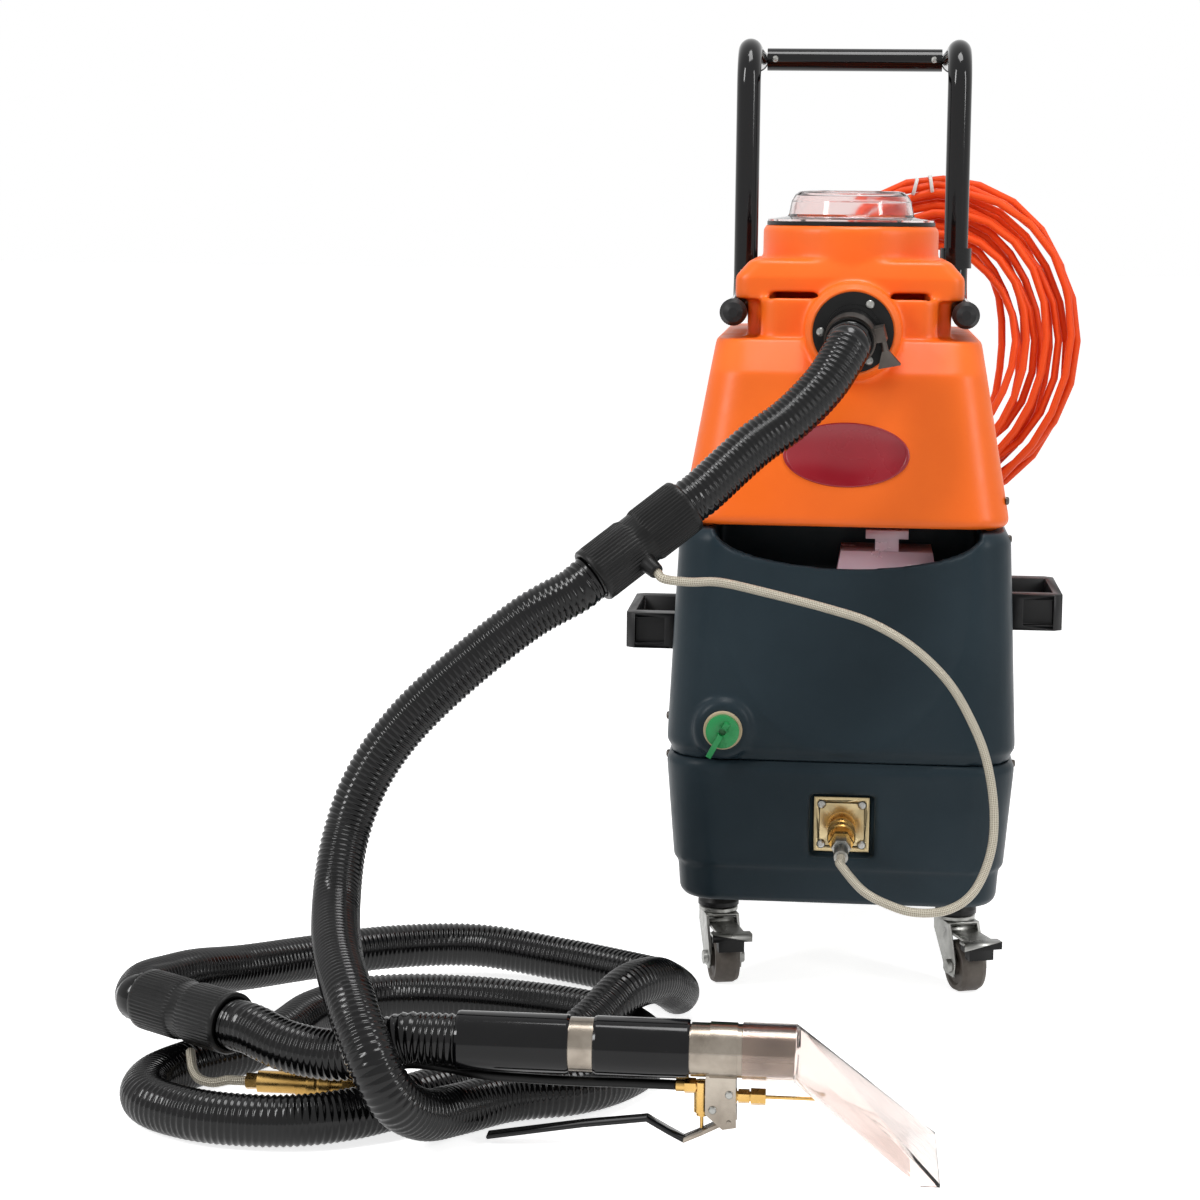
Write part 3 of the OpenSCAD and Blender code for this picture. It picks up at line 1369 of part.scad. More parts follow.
tail_route = [
  coil_last + 0.1 * coil_out, coil_last + 10 * coil_out, coil_last + 20 * coil_out, [-55, 601, 520],
  [-50, 602, 460],
  [-47, 602, 410], [-46, 602, 372], [-46, 602, 362]
];
plug_top = tail_route[len(tail_route) - 1];

module cord_lead() {
  q = even_steps(smooth_line(lead_route, 6), 20);
  color([0.95, 0.35, 0.15]) place() solid_tube(q, [for (i = [0:20]) cord_r], 8, [1, 0, 0]);
}

module cord_coil() {
  color([0.95, 0.35, 0.15]) place()
    solid_tube(coil_line, [for (p = coil_line) cord_r], 6, [0, 1, 0]);
}

module cord_tail() {
  q = even_steps(smooth_line(tail_route, 6), 12);
  color([0.95, 0.35, 0.15]) place() solid_tube(q, [for (i = [0:12]) cord_r], 8, [0, 1, 0]);
}

// Plug with its boot, hanging pins down
module power_plug() {
  color([0.1, 0.1, 0.1]) place() translate(plug_top) mirror([0, 0, 1]) {
    difference() {
      cylinder(r1 = cord_r + 1.5, r2 = 9, h = 24);
      translate([0, 0, -1]) cylinder(r = cord_r + running_fit, h = 1 + near_gap);
    }
    translate([0, 0, 24]) cylinder(r1 = 12, r2 = 19, h = 14);
    translate([0, 0, 38]) cylinder(r = 19, h = 10);
    for (s = [-1, 1]) translate([s * 9.5, 0, 48]) cylinder(r = 2.4, h = 19);
  }
}

// Least gap between neighbouring turns, on the points of the centre line
echo(coil_least_gap = min([for (i = [0:coil_steps], j = [i + coil_rings / 2:coil_steps])
  if (j < coil_steps + 1) norm(coil_wound[i] - coil_wound[j])]) - cord_d);
echo(cord_length = line_length(coil_line) + line_length(smooth_line(lead_route, 6))
  + line_length(smooth_line(tail_route, 6)));
hose_routes = [upper_route, main_route, tool_route, solution_route, tool_line_route, feed_route];
echo(hose_lengths = [for (r = hose_routes) line_length(smooth_line(r, 12))]);

// ---------- Drawing ----------

base_housing();
chassis_plate();
solution_tank();
recovery_tank();
lid_gasket();
lid_dome();
vacuum_motor();
solution_pump();
standpipe();
float_ball();
inlet_flange();
hose_clamp();
handle_tube(-1);  // handle_tube_left
handle_tube(1);  // handle_tube_right
handle_crossbar();
handle_end_caps();
carry_handle(-1);  // carry_handle_left
carry_handle(1);  // carry_handle_right
drain_key();
coupler_plate();
coupler_nipple();
coupler_collar();
hose_ferrule();
caster_cones();
caster_fork(-1);  // caster_fork_left
caster_fork(1);  // caster_fork_right
caster_wheel(-1);  // caster_wheel_left
caster_wheel(1);  // caster_wheel_right
brake_pedal(-1);  // brake_pedal_left
brake_pedal(1);  // brake_pedal_right
rear_axle();
rear_wheel(-1);  // rear_wheel_left
rear_wheel(1);  // rear_wheel_right
rocker(switch_xs[0], "red");  // vacuum_switch
rocker(switch_xs[1], "green");  // pump_switch
drain_spout();
drain_lever();
cord_gland();
cord_hook();
screws();
fill_lid();
hose_upper();
hose_main();
hose_tool();
hose_cuffs();
solution_hose();
tool_coupler();
tool_collar();
tool_line();
wand_tube();
wand_sleeves();
wand_head();
valve_body();
valve_stem();
trigger_lever();
cord_lead();
cord_coil();
cord_tail();
power_plug();
feed_line();
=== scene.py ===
import math

import bpy
from mathutils import Matrix, Vector


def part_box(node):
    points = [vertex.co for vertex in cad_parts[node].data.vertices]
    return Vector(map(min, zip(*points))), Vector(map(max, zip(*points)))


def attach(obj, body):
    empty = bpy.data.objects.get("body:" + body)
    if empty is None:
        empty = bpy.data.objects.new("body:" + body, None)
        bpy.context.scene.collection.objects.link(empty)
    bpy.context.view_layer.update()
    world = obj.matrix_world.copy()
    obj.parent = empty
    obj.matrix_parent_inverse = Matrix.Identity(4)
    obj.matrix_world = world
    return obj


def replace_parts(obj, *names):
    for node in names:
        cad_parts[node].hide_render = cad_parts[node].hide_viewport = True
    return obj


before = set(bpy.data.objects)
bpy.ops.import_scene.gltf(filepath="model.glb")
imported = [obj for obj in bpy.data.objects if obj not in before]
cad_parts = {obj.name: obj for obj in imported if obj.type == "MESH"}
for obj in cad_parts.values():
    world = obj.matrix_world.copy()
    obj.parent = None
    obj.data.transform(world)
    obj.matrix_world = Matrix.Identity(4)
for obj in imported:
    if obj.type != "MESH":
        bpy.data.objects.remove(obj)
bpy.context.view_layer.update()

# Sizes are in millimetres and places in the machine's own axes: X = 0 is its middle plane, Y = 0
# its front, Z = 0 the floor. at() turns a place into the frame's metres.
axle_low, axle_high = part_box("rear_axle")
SHIFT = Vector(((axle_low[0] + axle_high[0]) / 2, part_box("base_housing")[0][1], 0))
MM = 0.001


def at(x, y, z):
    return Vector((x, y, z)) * MM + SHIFT


def unit(*v):
    return Vector(v).normalized()


# ---------- Camera ----------

FRAME_PX = 1200
FOCUS_PX = 2700          # focal length in pixels of that frame
SENSOR = 36
CAMERA_Y = -2483
CAMERA_Z = 752.6
PITCH, YAW, ROLL = math.radians(6.28), math.radians(5.328), math.radians(0.641)
LENS_SHIFT = (5.2 / FRAME_PX, -95.8 / FRAME_PX)


def make_camera():
    ahead = Vector((-math.sin(YAW) * math.cos(PITCH), math.cos(YAW) * math.cos(PITCH), -math.sin(PITCH)))
    level = ahead.cross(Vector((0, 0, 1))).normalized()
    above = level.cross(ahead)
    right = level * math.cos(ROLL) + above * math.sin(ROLL)
    up = above * math.cos(ROLL) - level * math.sin(ROLL)
    data = bpy.data.cameras.new("camera")
    data.sensor_width = SENSOR
    data.lens = FOCUS_PX * SENSOR / FRAME_PX
    data.shift_x, data.shift_y = LENS_SHIFT
    data.clip_end = 50
    camera = bpy.data.objects.new("camera", data)
    camera.matrix_world = Matrix.Translation(at(0, CAMERA_Y, CAMERA_Z)) @ Matrix(
        (right, up, -ahead)).transposed().to_4x4()
    bpy.context.collection.objects.link(camera)
    bpy.context.scene.camera = camera


make_camera()


# ---------- Mesh helpers ----------

def add_mesh(name, points, faces, body="machine", smooth=True, uv=None):
    mesh = bpy.data.meshes.new(name)
    mesh.from_pydata([tuple(p) for p in points], [], faces)
    if uv:
        layer = mesh.uv_layers.new(name="along")
        for loop in mesh.loops:
            layer.data[loop.index].uv = uv[loop.vertex_index]
    mesh.validate()
    mesh.update()
    if smooth:
        mesh.shade_smooth()
    piece = bpy.data.objects.new(name, mesh)
    bpy.context.collection.objects.link(piece)
    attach(piece, body)
    return piece


def smooth_line(route, steps):
    """Catmull-Rom line through the route's points, as the solids follow it."""
    last = len(route) - 1
    line = []
    for i in range(last):
        a, b, c, d = (route[max(i - 1, 0)], route[i], route[i + 1], route[min(i + 2, last)])
        for k in range(steps):
            t = k / steps
            line.append(0.5 * (2 * b + (c - a) * t + (2 * a - 5 * b + 4 * c - d) * t * t
                               + (3 * b - a - 3 * c + d) * t * t * t))
    return line + [route[last].copy()]


def distances(line):
    total, out = 0.0, [0.0]
    for a, b in zip(line, line[1:]):
        total += (b - a).length
        out.append(total)
    return out


def even_steps(line, count):
    s = distances(line)
    out, j = [], 0
    for k in range(count + 1):
        want = s[-1] * k / count
        while j < len(s) - 2 and s[j + 1] < want:
            j += 1
        span = s[j + 1] - s[j]
        out.append(line[j].lerp(line[j + 1], (want - s[j]) / span if span else 0))
    return out


def carried_frames(line, first=(0, 0, 1)):
    """Two directions square to the line at each point, turning with it without twist."""
    frames, normal = [], Vector(first)
    for i in range(len(line)):
        tangent = (line[min(i + 1, len(line) - 1)] - line[max(i - 1, 0)]).normalized()
        normal = (normal - tangent * normal.dot(tangent)).normalized()
        frames.append((normal, tangent.cross(normal)))
    return frames


def swept(name, line, radius, sides, body="machine", first=(0, 0, 1), closed_ends=True):
    """A tube along line; radius(i, angle) gives its radius at ring i. UV: metres along, turns round."""
    frames = carried_frames(line, first)
    run = distances(line)
    points, uv, faces = [], [], []
    for i, (centre, (n, b)) in enumerate(zip(line, frames)):
        for k in range(sides):
            a = 2 * math.pi * k / sides
            points.append(centre + (n * math.cos(a) + b * math.sin(a)) * radius(i, a))
            uv.append((run[i], k / sides))
    for i in range(len(line) - 1):
        for k in range(sides):
            j = (k + 1) % sides
            faces.append((i * sides + k, i * sides + j, (i + 1) * sides + j, (i + 1) * sides + k))
    if closed_ends:
        faces.append(tuple(reversed(range(sides))))
        faces.append(tuple((len(line) - 1) * sides + k for k in range(sides)))
    return add_mesh(name, points, faces, body, uv=uv)


def turned(name, profile, place, sides=64, body="machine", ripple=None):
    """Turns (radius, height) pairs in mm round +Z of the matrix place. Ends on the axis close."""
    points, faces, rings = [], [], []
    for index, (r, h) in enumerate(profile):
        if r < 1e-6:
            rings.append([len(points)])
            points.append(place @ (Vector((0, 0, h)) * MM))
            continue
        rings.append([len(points) + k for k in range(sides)])
        for k in range(sides):
            a = 2 * math.pi * k / sides
            rr = r + (ripple(index, a) if ripple else 0)
            points.append(place @ (Vector((rr * math.cos(a), rr * math.sin(a), h)) * MM))
    for low, high in zip(rings, rings[1:]):
        for k in range(sides):
            j = (k + 1) % sides
            if len(low) == 1 and len(high) > 1:
                faces.append((low[0], high[j], high[k]))
            elif len(high) == 1 and len(low) > 1:
                faces.append((low[k], low[j], high[0]))
            elif len(low) > 1:
                faces.append((low[k], low[j], high[j], high[k]))
    return add_mesh(name, points, faces, body)


def pointing(origin, direction, spin=0.0):
    """Matrix that puts +Z along direction at origin, both in the frame's metres."""
    z = Vector(direction).normalized()
    turn = z.to_track_quat("Z", "Y").to_matrix().to_4x4()
    return Matrix.Translation(origin) @ turn @ Matrix.Rotation(spin, 4, "Z")


def apply_modifiers(piece):
    depsgraph = bpy.context.evaluated_depsgraph_get()
    mesh = bpy.data.meshes.new_from_object(piece.evaluated_get(depsgraph))
    piece.modifiers.clear()
    old = piece.data
    piece.data = mesh
    bpy.data.meshes.remove(old)
    mesh.shade_smooth()
    return piece


def node_copy(node, name):
    """An object of its own with the CAD node's mesh and no material."""
    piece = bpy.data.objects.new(name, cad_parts[node].data.copy())
    bpy.context.collection.objects.link(piece)
    piece.data.materials.clear()
    return piece


def softened(node, name, voxel, passes, body="machine"):
    """A copy of a CAD node with the soft edges of a rotation-moulded shell."""
    piece = node_copy(node, name)
    remesh = piece.modifiers.new("remesh", "REMESH")
    remesh.mode = "VOXEL"
    remesh.voxel_size = voxel * MM
    soft = piece.modifiers.new("soft", "SMOOTH")
    soft.factor = 0.5
    soft.iterations = passes
    apply_modifiers(piece)
    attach(piece, body)
    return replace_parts(piece, node)


SHARP_EDGE = math.radians(35)


def bevelled(node, name, width, body="machine"):
    """A copy of a CAD node with its sharp edges rounded a little."""
    piece = node_copy(node, name)
    weld = piece.modifiers.new("weld", "WELD")
    weld.merge_threshold = 0.02 * MM
    bevel = piece.modifiers.new("bevel", "BEVEL")
    bevel.width = width * MM
    bevel.segments = 2
    bevel.limit_method = "ANGLE"
    bevel.angle_limit = SHARP_EDGE
    normals = piece.modifiers.new("normals", "WEIGHTED_NORMAL")
    normals.keep_sharp = False
    apply_modifiers(piece)
    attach(piece, body)
    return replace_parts(piece, node)


# ---------- Materials ----------

class Look:
    """Builds one procedural material around a Principled shader."""

    def __init__(self, name, metallic=0.0, **sockets):
        self.material = bpy.data.materials.new(name)
        self.material.use_nodes = True
        self.nodes = self.material.node_tree.nodes
        self.links = self.material.node_tree.links
        self.shader = self.nodes["Principled BSDF"]
        self.shader.inputs["Metallic"].default_value = metallic
        for key, value in sockets.items():
            self.shader.inputs[key.replace("_", " ")].default_value = value
        self.coords = self.add("ShaderNodeTexCoord").outputs["Object"]
        self.height = None

    def add(self, kind, **settings):
        node = self.nodes.new(kind)
        for key, value in settings.items():
            setattr(node, key, value)
        return node

    def value(self, node, **inputs):
        for key, v in inputs.items():
            node.inputs[key.replace("_", " ")].default_value = v
        return node

    def noise(self, scale, detail=4.0, rough=0.55, stretch=None, distortion=0.0):
        node = self.add("ShaderNodeTexNoise")
        self.value(node, Scale=scale, Detail=detail, Roughness=rough, Distortion=distortion)
        source = self.coords
        if stretch:
            mapping = self.add("ShaderNodeMapping")
            mapping.inputs["Scale"].default_value = stretch
            self.links.new(self.coords, mapping.inputs["Vector"])
            source = mapping.outputs["Vector"]
        self.links.new(source, node.inputs["Vector"])
        return node.outputs["Fac"]

    def ramp(self, factor, stops):
        node = self.add("ShaderNodeValToRGB")
        ramp = node.color_ramp
        while len(ramp.elements) < len(stops):
            ramp.elements.new(0.5)
        for element, (place, color) in zip(ramp.elements, stops):
            element.position = place
            element.color = (*color, 1.0)
        self.links.new(factor, node.inputs["Fac"])
        return node.outputs["Color"]

    def mix(self, factor, a, b):
        node = self.add("ShaderNodeMix", data_type="RGBA")
        for socket, v in ((node.inputs["Factor"], factor), (node.inputs["A"], a), (node.inputs["B"], b)):
            if hasattr(v, "links"):
                self.links.new(v, socket)
            elif isinstance(v, (int, float)):
                socket.default_value = v
            else:
                socket.default_value = (*v, 1.0)
        return node.outputs["Result"]

    def mapped(self, factor, low, high, from_low=0.3, from_high=0.7):
        node = self.add("ShaderNodeMapRange")
        self.value(node, From_Min=from_low, From_Max=from_high, To_Min=low, To_Max=high)
        self.links.new(factor, node.inputs["Value"])
        return node.outputs["Result"]

    def color(self, socket):
        self.links.new(socket, self.shader.inputs["Base Color"])
        return self

    def rough(self, scale, low, high, stretch=None):
        self.links.new(self.mapped(self.noise(scale, stretch=stretch), low, high),
                       self.shader.inputs["Roughness"])
        return self

    def bump(self, factor, strength, distance):
        node = self.add("ShaderNodeBump")
        self.value(node, Strength=strength, Distance=distance)
        self.links.new(factor, node.inputs["Height"])
        if self.height:
            self.links.new(self.height, node.inputs["Normal"])
        self.height = node.outputs["Normal"]
        self.links.new(self.height, self.shader.inputs["Normal"])
        return self


def moulded(name, base, lift, rough=(0.38, 0.52), grain=0.25, **sockets):
    """Moulded plastic: faint cloudy colour, fine orange-peel and scuffs."""
    look = Look(name, **sockets)
    cloud = look.ramp(look.noise(6.0, 5.0), [(0.3, base), (0.72, lift)])
    specks = look.ramp(look.noise(420.0, 2.0), [(0.62, (0, 0, 0)), (0.78, (1, 1, 1))])
    pale = tuple(min(1, c * 1.5) for c in lift)
    look.color(look.mix(look.mapped(specks, 0.0, 0.12, 0.0, 1.0), cloud, pale))
    look.rough(30.0, *rough)
    look.bump(look.noise(900.0, 3.0), grain, 0.0002)
    look.bump(look.noise(60.0, 3.0), grain * 0.6, 0.0006)
    return look.material


def metal(name, base, lift, rough, brushed=None, **sockets):
    """Bare or plated metal with fine directional marks."""
    look = Look(name, metallic=1.0, **sockets)
    look.color(look.ramp(look.noise(25.0, 5.0), [(0.3, base), (0.7, lift)]))
    look.rough(120.0, *rough, stretch=brushed)
    look.bump(look.noise(700.0, 2.0, stretch=brushed), 0.15, 0.0001)
    return look.material


def rubber(name, base, lift, rough=(0.5, 0.7), grain=0.3, **sockets):
    """Rubber or soft vinyl with a little dust on it."""
    look = Look(name, **sockets)
    look.color(look.ramp(look.noise(45.0, 6.0), [(0.45, base), (0.8, lift)]))
    look.rough(80.0, *rough)
    look.bump(look.noise(1400.0, 2.0), grain, 0.00015)
    return look.material


def clear(name, tint, rough, **sockets):
    """Clear moulded plastic, faintly tinted."""
    look = Look(name, **sockets)
    look.shader.inputs["Transmission Weight"].default_value = 1.0
    look.shader.inputs["IOR"].default_value = 1.42
    pale = tuple(min(1, c * 1.03) for c in tint)
    look.color(look.ramp(look.noise(20.0, 3.0), [(0.3, tint), (0.7, pale)]))
    look.rough(35.0, *rough)
    look.bump(look.noise(90.0, 3.0, stretch=(1, 1, 0.2)), 0.12, 0.0004)
    return look.material


ORANGE = moulded("orange_moulding", (0.87, 0.135, 0.009), (0.96, 0.168, 0.014), rough=(0.34, 0.46),
                 Specular_IOR_Level=0.35)
GREY = moulded("grey_moulding", (0.013, 0.023, 0.03), (0.021, 0.034, 0.043), rough=(0.3, 0.42),
               Specular_IOR_Level=0.12)
BLACK_PLASTIC = moulded("black_plastic", (0.005, 0.005, 0.0055), (0.011, 0.011, 0.0115), rough=(0.35, 0.5),
                        Specular_IOR_Level=0.25)
BLACK_PAINT = moulded("black_paint", (0.002, 0.002, 0.0025), (0.004, 0.004, 0.0045), rough=(0.06, 0.12),
                      grain=0.05, Specular_IOR_Level=0.3)
BLACK_RUBBER = rubber("black_rubber", (0.003, 0.003, 0.003), (0.007, 0.007, 0.007), rough=(0.3, 0.45),
                      Specular_IOR_Level=0.2)
SLEEVE = rubber("grip_sleeve", (0.0015, 0.0015, 0.002), (0.003, 0.003, 0.0035), rough=(0.07, 0.13),
                grain=0.04, Specular_IOR_Level=0.24)
HOSE_BLACK = rubber("hose_black", (0.002, 0.002, 0.0022), (0.005, 0.005, 0.0053), rough=(0.12, 0.2),
                    grain=0.1, Specular_IOR_Level=0.26)
ZINC = metal("zinc_plate", (0.22, 0.22, 0.21), (0.38, 0.38, 0.36), (0.24, 0.44))
YELLOW_ZINC = metal("yellow_zinc", (0.36, 0.28, 0.15), (0.5, 0.41, 0.24), (0.26, 0.42))
STEEL = metal("brushed_steel", (0.16, 0.135, 0.11), (0.36, 0.32, 0.27), (0.16, 0.3), brushed=(0.05, 1, 1))
DARK_STEEL = metal("dark_steel", (0.05, 0.043, 0.038), (0.1, 0.088, 0.08), (0.3, 0.45))
BRASS = metal("brass", (0.42, 0.24, 0.06), (0.62, 0.4, 0.14), (0.2, 0.36))
TREAD = rubber("caster_tread", (0.075, 0.062, 0.052), (0.14, 0.12, 0.1), rough=(0.5, 0.75))
REAR_TREAD = rubber("rear_tread", (0.012, 0.012, 0.012), (0.035, 0.034, 0.033), rough=(0.55, 0.75))
GREEN = moulded("green_plastic", (0.004, 0.23, 0.055), (0.01, 0.32, 0.085), rough=(0.3, 0.42))
RED = moulded("red_plastic", (0.5, 0.012, 0.012), (0.6, 0.02, 0.02), rough=(0.25, 0.35))
BADGE = moulded("badge", (0.26, 0.006, 0.014), (0.32, 0.009, 0.02), rough=(0.22, 0.3), grain=0.05)
SEAL = rubber("seal", (0.42, 0.33, 0.2), (0.55, 0.45, 0.3))
WHITE = moulded("white_plastic", (0.72, 0.72, 0.69), (0.82, 0.82, 0.8))
MOTOR = metal("motor_casting", (0.3, 0.3, 0.31), (0.42, 0.42, 0.43), (0.4, 0.6))
CORD_ORANGE = moulded("cord_sheath", (0.84, 0.06, 0.006), (0.95, 0.1, 0.014), rough=(0.35, 0.5), grain=0.15,
                      Specular_IOR_Level=0.25)
CLEAR = clear("clear_dome", (0.93, 0.83, 0.82), (0.04, 0.1))
CLEAR_HEAD = clear("clear_head", (0.85, 0.77, 0.74), (0.05, 0.12))


def milky_pink():
    """Thin pink plastic that lets some light through."""
    look = Look("pink_lid", Roughness=0.3)
    look.color(look.ramp(look.noise(12.0, 4.0), [(0.3, (0.72, 0.5, 0.6)), (0.7, (0.82, 0.62, 0.7))]))
    look.shader.inputs["Transmission Weight"].default_value = 0.35
    look.shader.inputs["Subsurface Weight"].default_value = 0.3
    look.shader.inputs["Subsurface Radius"].default_value = (0.02, 0.012, 0.014)
    look.rough(30.0, 0.18, 0.3)
    look.bump(look.noise(120.0), 0.15, 0.0003)
    return look.material


PINK = milky_pink()


def braided():
    """Two crossing sets of strands, from the hose's own UV: metres along and turns round."""
    look = Look("braid", metallic=0.35)
    uv = look.add("ShaderNodeUVMap", uv_map="along").outputs["UV"]
    split = look.add("ShaderNodeSeparateXYZ")
    look.links.new(uv, split.inputs[0])
    waves = []
    for turn in (14.0, -14.0):
        along = look.add("ShaderNodeMath", operation="MULTIPLY")
        along.inputs[1].default_value = 620.0
        look.links.new(split.outputs[0], along.inputs[0])
        both = look.add("ShaderNodeMath", operation="MULTIPLY_ADD")
        both.inputs[1].default_value = turn
        look.links.new(split.outputs[1], both.inputs[0])
        look.links.new(along.outputs[0], both.inputs[2])
        angle = look.add("ShaderNodeMath", operation="MULTIPLY")
        angle.inputs[1].default_value = math.pi
        look.links.new(both.outputs[0], angle.inputs[0])
        wave = look.add("ShaderNodeMath", operation="SINE")
        look.links.new(angle.outputs[0], wave.inputs[0])
        waves.append(wave.outputs[0])
    weave = look.add("ShaderNodeMath", operation="MULTIPLY")
    look.links.new(waves[0], weave.inputs[0])
    look.links.new(waves[1], weave.inputs[1])
    factor = look.mapped(weave.outputs[0], 0.0, 1.0, -0.8, 0.8)
    look.color(look.ramp(factor, [(0.15, (0.22, 0.19, 0.14)), (0.6, (0.52, 0.48, 0.39))]))
    look.rough(200.0, 0.35, 0.5)
    look.bump(factor, 0.7, 0.0006)
    return look.material


BRAID = braided()


def paint(piece, *materials):
    piece.data.materials.clear()
    for m in materials:
        piece.data.materials.append(m)
    return piece


# ---------- Cords ----------

SPIGOT_FROM = Vector((4, 29, 640))
SPIGOT_DIR = unit(-0.12, -0.95, -0.28)
HOSE_FROM = SPIGOT_FROM + 28 * SPIGOT_DIR
HOSE_D = 42.0
HOSE_Z = HOSE_D / 2 + 0.5
CUFF_WEB, CUFF_LEN, CUFF_D = 8, 106, 52
CUFF_DIR_UPPER = unit(-80, -40, -62)
CUFF_MID_UPPER = Vector((-180, -130, 461))
CUFF_DIR_LOWER = unit(87, -60, 0)
CUFF_MID_LOWER = Vector((-541, -305, 74))
NEAR_GAP = 0.3
CUFF_STOP = CUFF_WEB + NEAR_GAP
CUFF_MOUTH = CUFF_LEN / 2 + 3
CUFF_OUT = CUFF_MOUTH + 20
PORT_DIR = unit(0.66, -0.581, -0.476)
PORT_BASE = CUFF_MID_UPPER + 10 * CUFF_DIR_UPPER + (CUFF_D / 2 - 1) * PORT_DIR
WAND_START, WAND_Y, WAND_Z = -302, -385, 84


def route(*points):
    return [Vector(p) for p in points]


def world_line(points, steps=12):
    return [p * MM + SHIFT for p in smooth_line(points, steps)]


UPPER_ROUTE = route(
    HOSE_FROM + NEAR_GAP * SPIGOT_DIR, HOSE_FROM + 10 * SPIGOT_DIR, HOSE_FROM + 20 * SPIGOT_DIR,
    (-20, -42, 597), (-50, -62, 566), (-84, -78, 541), CUFF_MID_UPPER - CUFF_OUT * CUFF_DIR_UPPER,
    CUFF_MID_UPPER - CUFF_MOUTH * CUFF_DIR_UPPER, CUFF_MID_UPPER - CUFF_STOP * CUFF_DIR_UPPER)
MAIN_ROUTE = route(
    CUFF_MID_UPPER + CUFF_STOP * CUFF_DIR_UPPER, CUFF_MID_UPPER + CUFF_MOUTH * CUFF_DIR_UPPER,
    CUFF_MID_UPPER + CUFF_OUT * CUFF_DIR_UPPER,
    (-276, -166, 394), (-332, -177, 348), (-379, -185, 301), (-411, -192, 253), (-428, -205, 202),
    (-428, -244, 157), (-412, -322, 133), (-386, -400, 115), (-363, -440, 84), (-345, -440, 52),
    (-326, -412, 30), (-304, -372, HOSE_Z), (-266, -335, HOSE_Z), (-215, -311, HOSE_Z),
    (-180, -272, HOSE_Z), (-162, -220, HOSE_Z), (-168, -162, HOSE_Z), (-200, -112, HOSE_Z),
    (-250, -84, HOSE_Z), (-322, -66, HOSE_Z), (-390, -64, HOSE_Z), (-440, -84, HOSE_Z),
    (-472, -130, HOSE_Z), (-486, -190, HOSE_Z), (-508, -240, HOSE_Z), (-545, -284, HOSE_Z),
    (-567, -332, HOSE_Z), (-558, -380, HOSE_Z), (-515, -410, HOSE_Z), (-468, -419, HOSE_Z),
    (-426, -414, HOSE_Z), (-388, -394, HOSE_Z), (-353, -360, HOSE_Z), (-321, -323, HOSE_Z),
    (-288, -283, HOSE_Z), (-251, -250, 25), (-212, -212, 46), (-184, -168, 66), (-162, -120, 62),
    (-149, -72, 42), (-147, -28, 25), (-162, 14, HOSE_Z), (-210, 46, HOSE_Z), (-270, 68, 25),
    (-350, 76, 33), (-430, 48, 36), (-496, -12, 40), (-545, -88, 50), (-572, -155, 64),
    (-588, -195, 69), (-599, -232, 73),
    CUFF_MID_LOWER - (CUFF_MOUTH + 10) * CUFF_DIR_LOWER, CUFF_MID_LOWER - CUFF_MOUTH * CUFF_DIR_LOWER,
    CUFF_MID_LOWER - CUFF_STOP * CUFF_DIR_LOWER)
TOOL_ROUTE = route(
    CUFF_MID_LOWER + CUFF_STOP * CUFF_DIR_LOWER, CUFF_MID_LOWER + CUFF_MOUTH * CUFF_DIR_LOWER,
    CUFF_MID_LOWER + CUFF_OUT * CUFF_DIR_LOWER, (-446, -366, 67), (-408, -378, 65), (-376, -384, 71),
    (WAND_START - 45, WAND_Y, WAND_Z - 1), (WAND_START - 25, WAND_Y, WAND_Z),
    (WAND_START - NEAR_GAP, WAND_Y, WAND_Z))
RIB_PITCH = 5.2
RIB_RINGS = 4
RIB_DEEP = 1.7
HOSE_SIDES, THIN_SIDES = 28, 20


def ribbed_hose(name, points, node):
    """A hose with a helical rib; its rings are a quarter of a rib apart."""
    line = world_line(points)
    length = distances(line)[-1]
    rings = RIB_RINGS * round(length / MM / RIB_PITCH)
    line = even_steps(line, rings)

    def radius(i, angle):
        wave = 0.5 + 0.5 * math.cos(2 * math.pi * i / RIB_RINGS + angle)
        return (HOSE_D / 2 - RIB_DEEP * (1 - wave ** 0.7)) * MM

    piece = paint(swept(name, line, radius, HOSE_SIDES), HOSE_BLACK)
    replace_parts(piece, node)
    return piece, line, length


CUFF_RIBS, CUFF_RIB_DEEP = 48, 1.1
CUFF_RIBBED_RINGS = {5, 6, 7, 10, 11, 12}


def longitudinal_ribs(count, deep, inside):
    """Ripple for turned(): count grooves along the rings whose number is in inside."""
    def ripple(index, angle):
        if index in inside:
            return -deep * (0.5 - 0.5 * math.cos(count * angle)) ** 2
        return 0
    return ripple


def hose_cuff(name, middle, direction):
    """Two ribbed halves with a smooth step between them."""
    half = CUFF_LEN / 2
    r = CUFF_D / 2
    mouth = HOSE_D / 2 + 0.4
    first_half = [(mouth, -half + 3), (mouth + 0.2, -half), (r - 1.2, -half), (r - 0.2, -half + 1.5),
                  (r - 0.2, -half + 5), (r, -half + 6.5), (r, -9), (r - 1, -6), (r - 1.6, -5)]
    profile = first_half + [(radius, -height) for radius, height in reversed(first_half)]
    ripple = longitudinal_ribs(CUFF_RIBS, CUFF_RIB_DEEP, CUFF_RIBBED_RINGS)
    piece = turned(name, profile, pointing(middle * MM + SHIFT, direction), sides=240, ripple=ripple)
    return paint(piece, BLACK_RUBBER)


def port_nub(name, base, direction):
    """Moulded nub on a cuff, where the solution hose comes out of the suction hose."""
    profile = [(9.5, -2), (8.6, 0.5), (7.8, 3), (6.9, 12), (6.3, 13.6), (5.2, 14), (4.2, 13.4), (4.1, 9)]
    return paint(turned(name, profile, pointing(at(*base), direction), sides=48), BLACK_RUBBER)


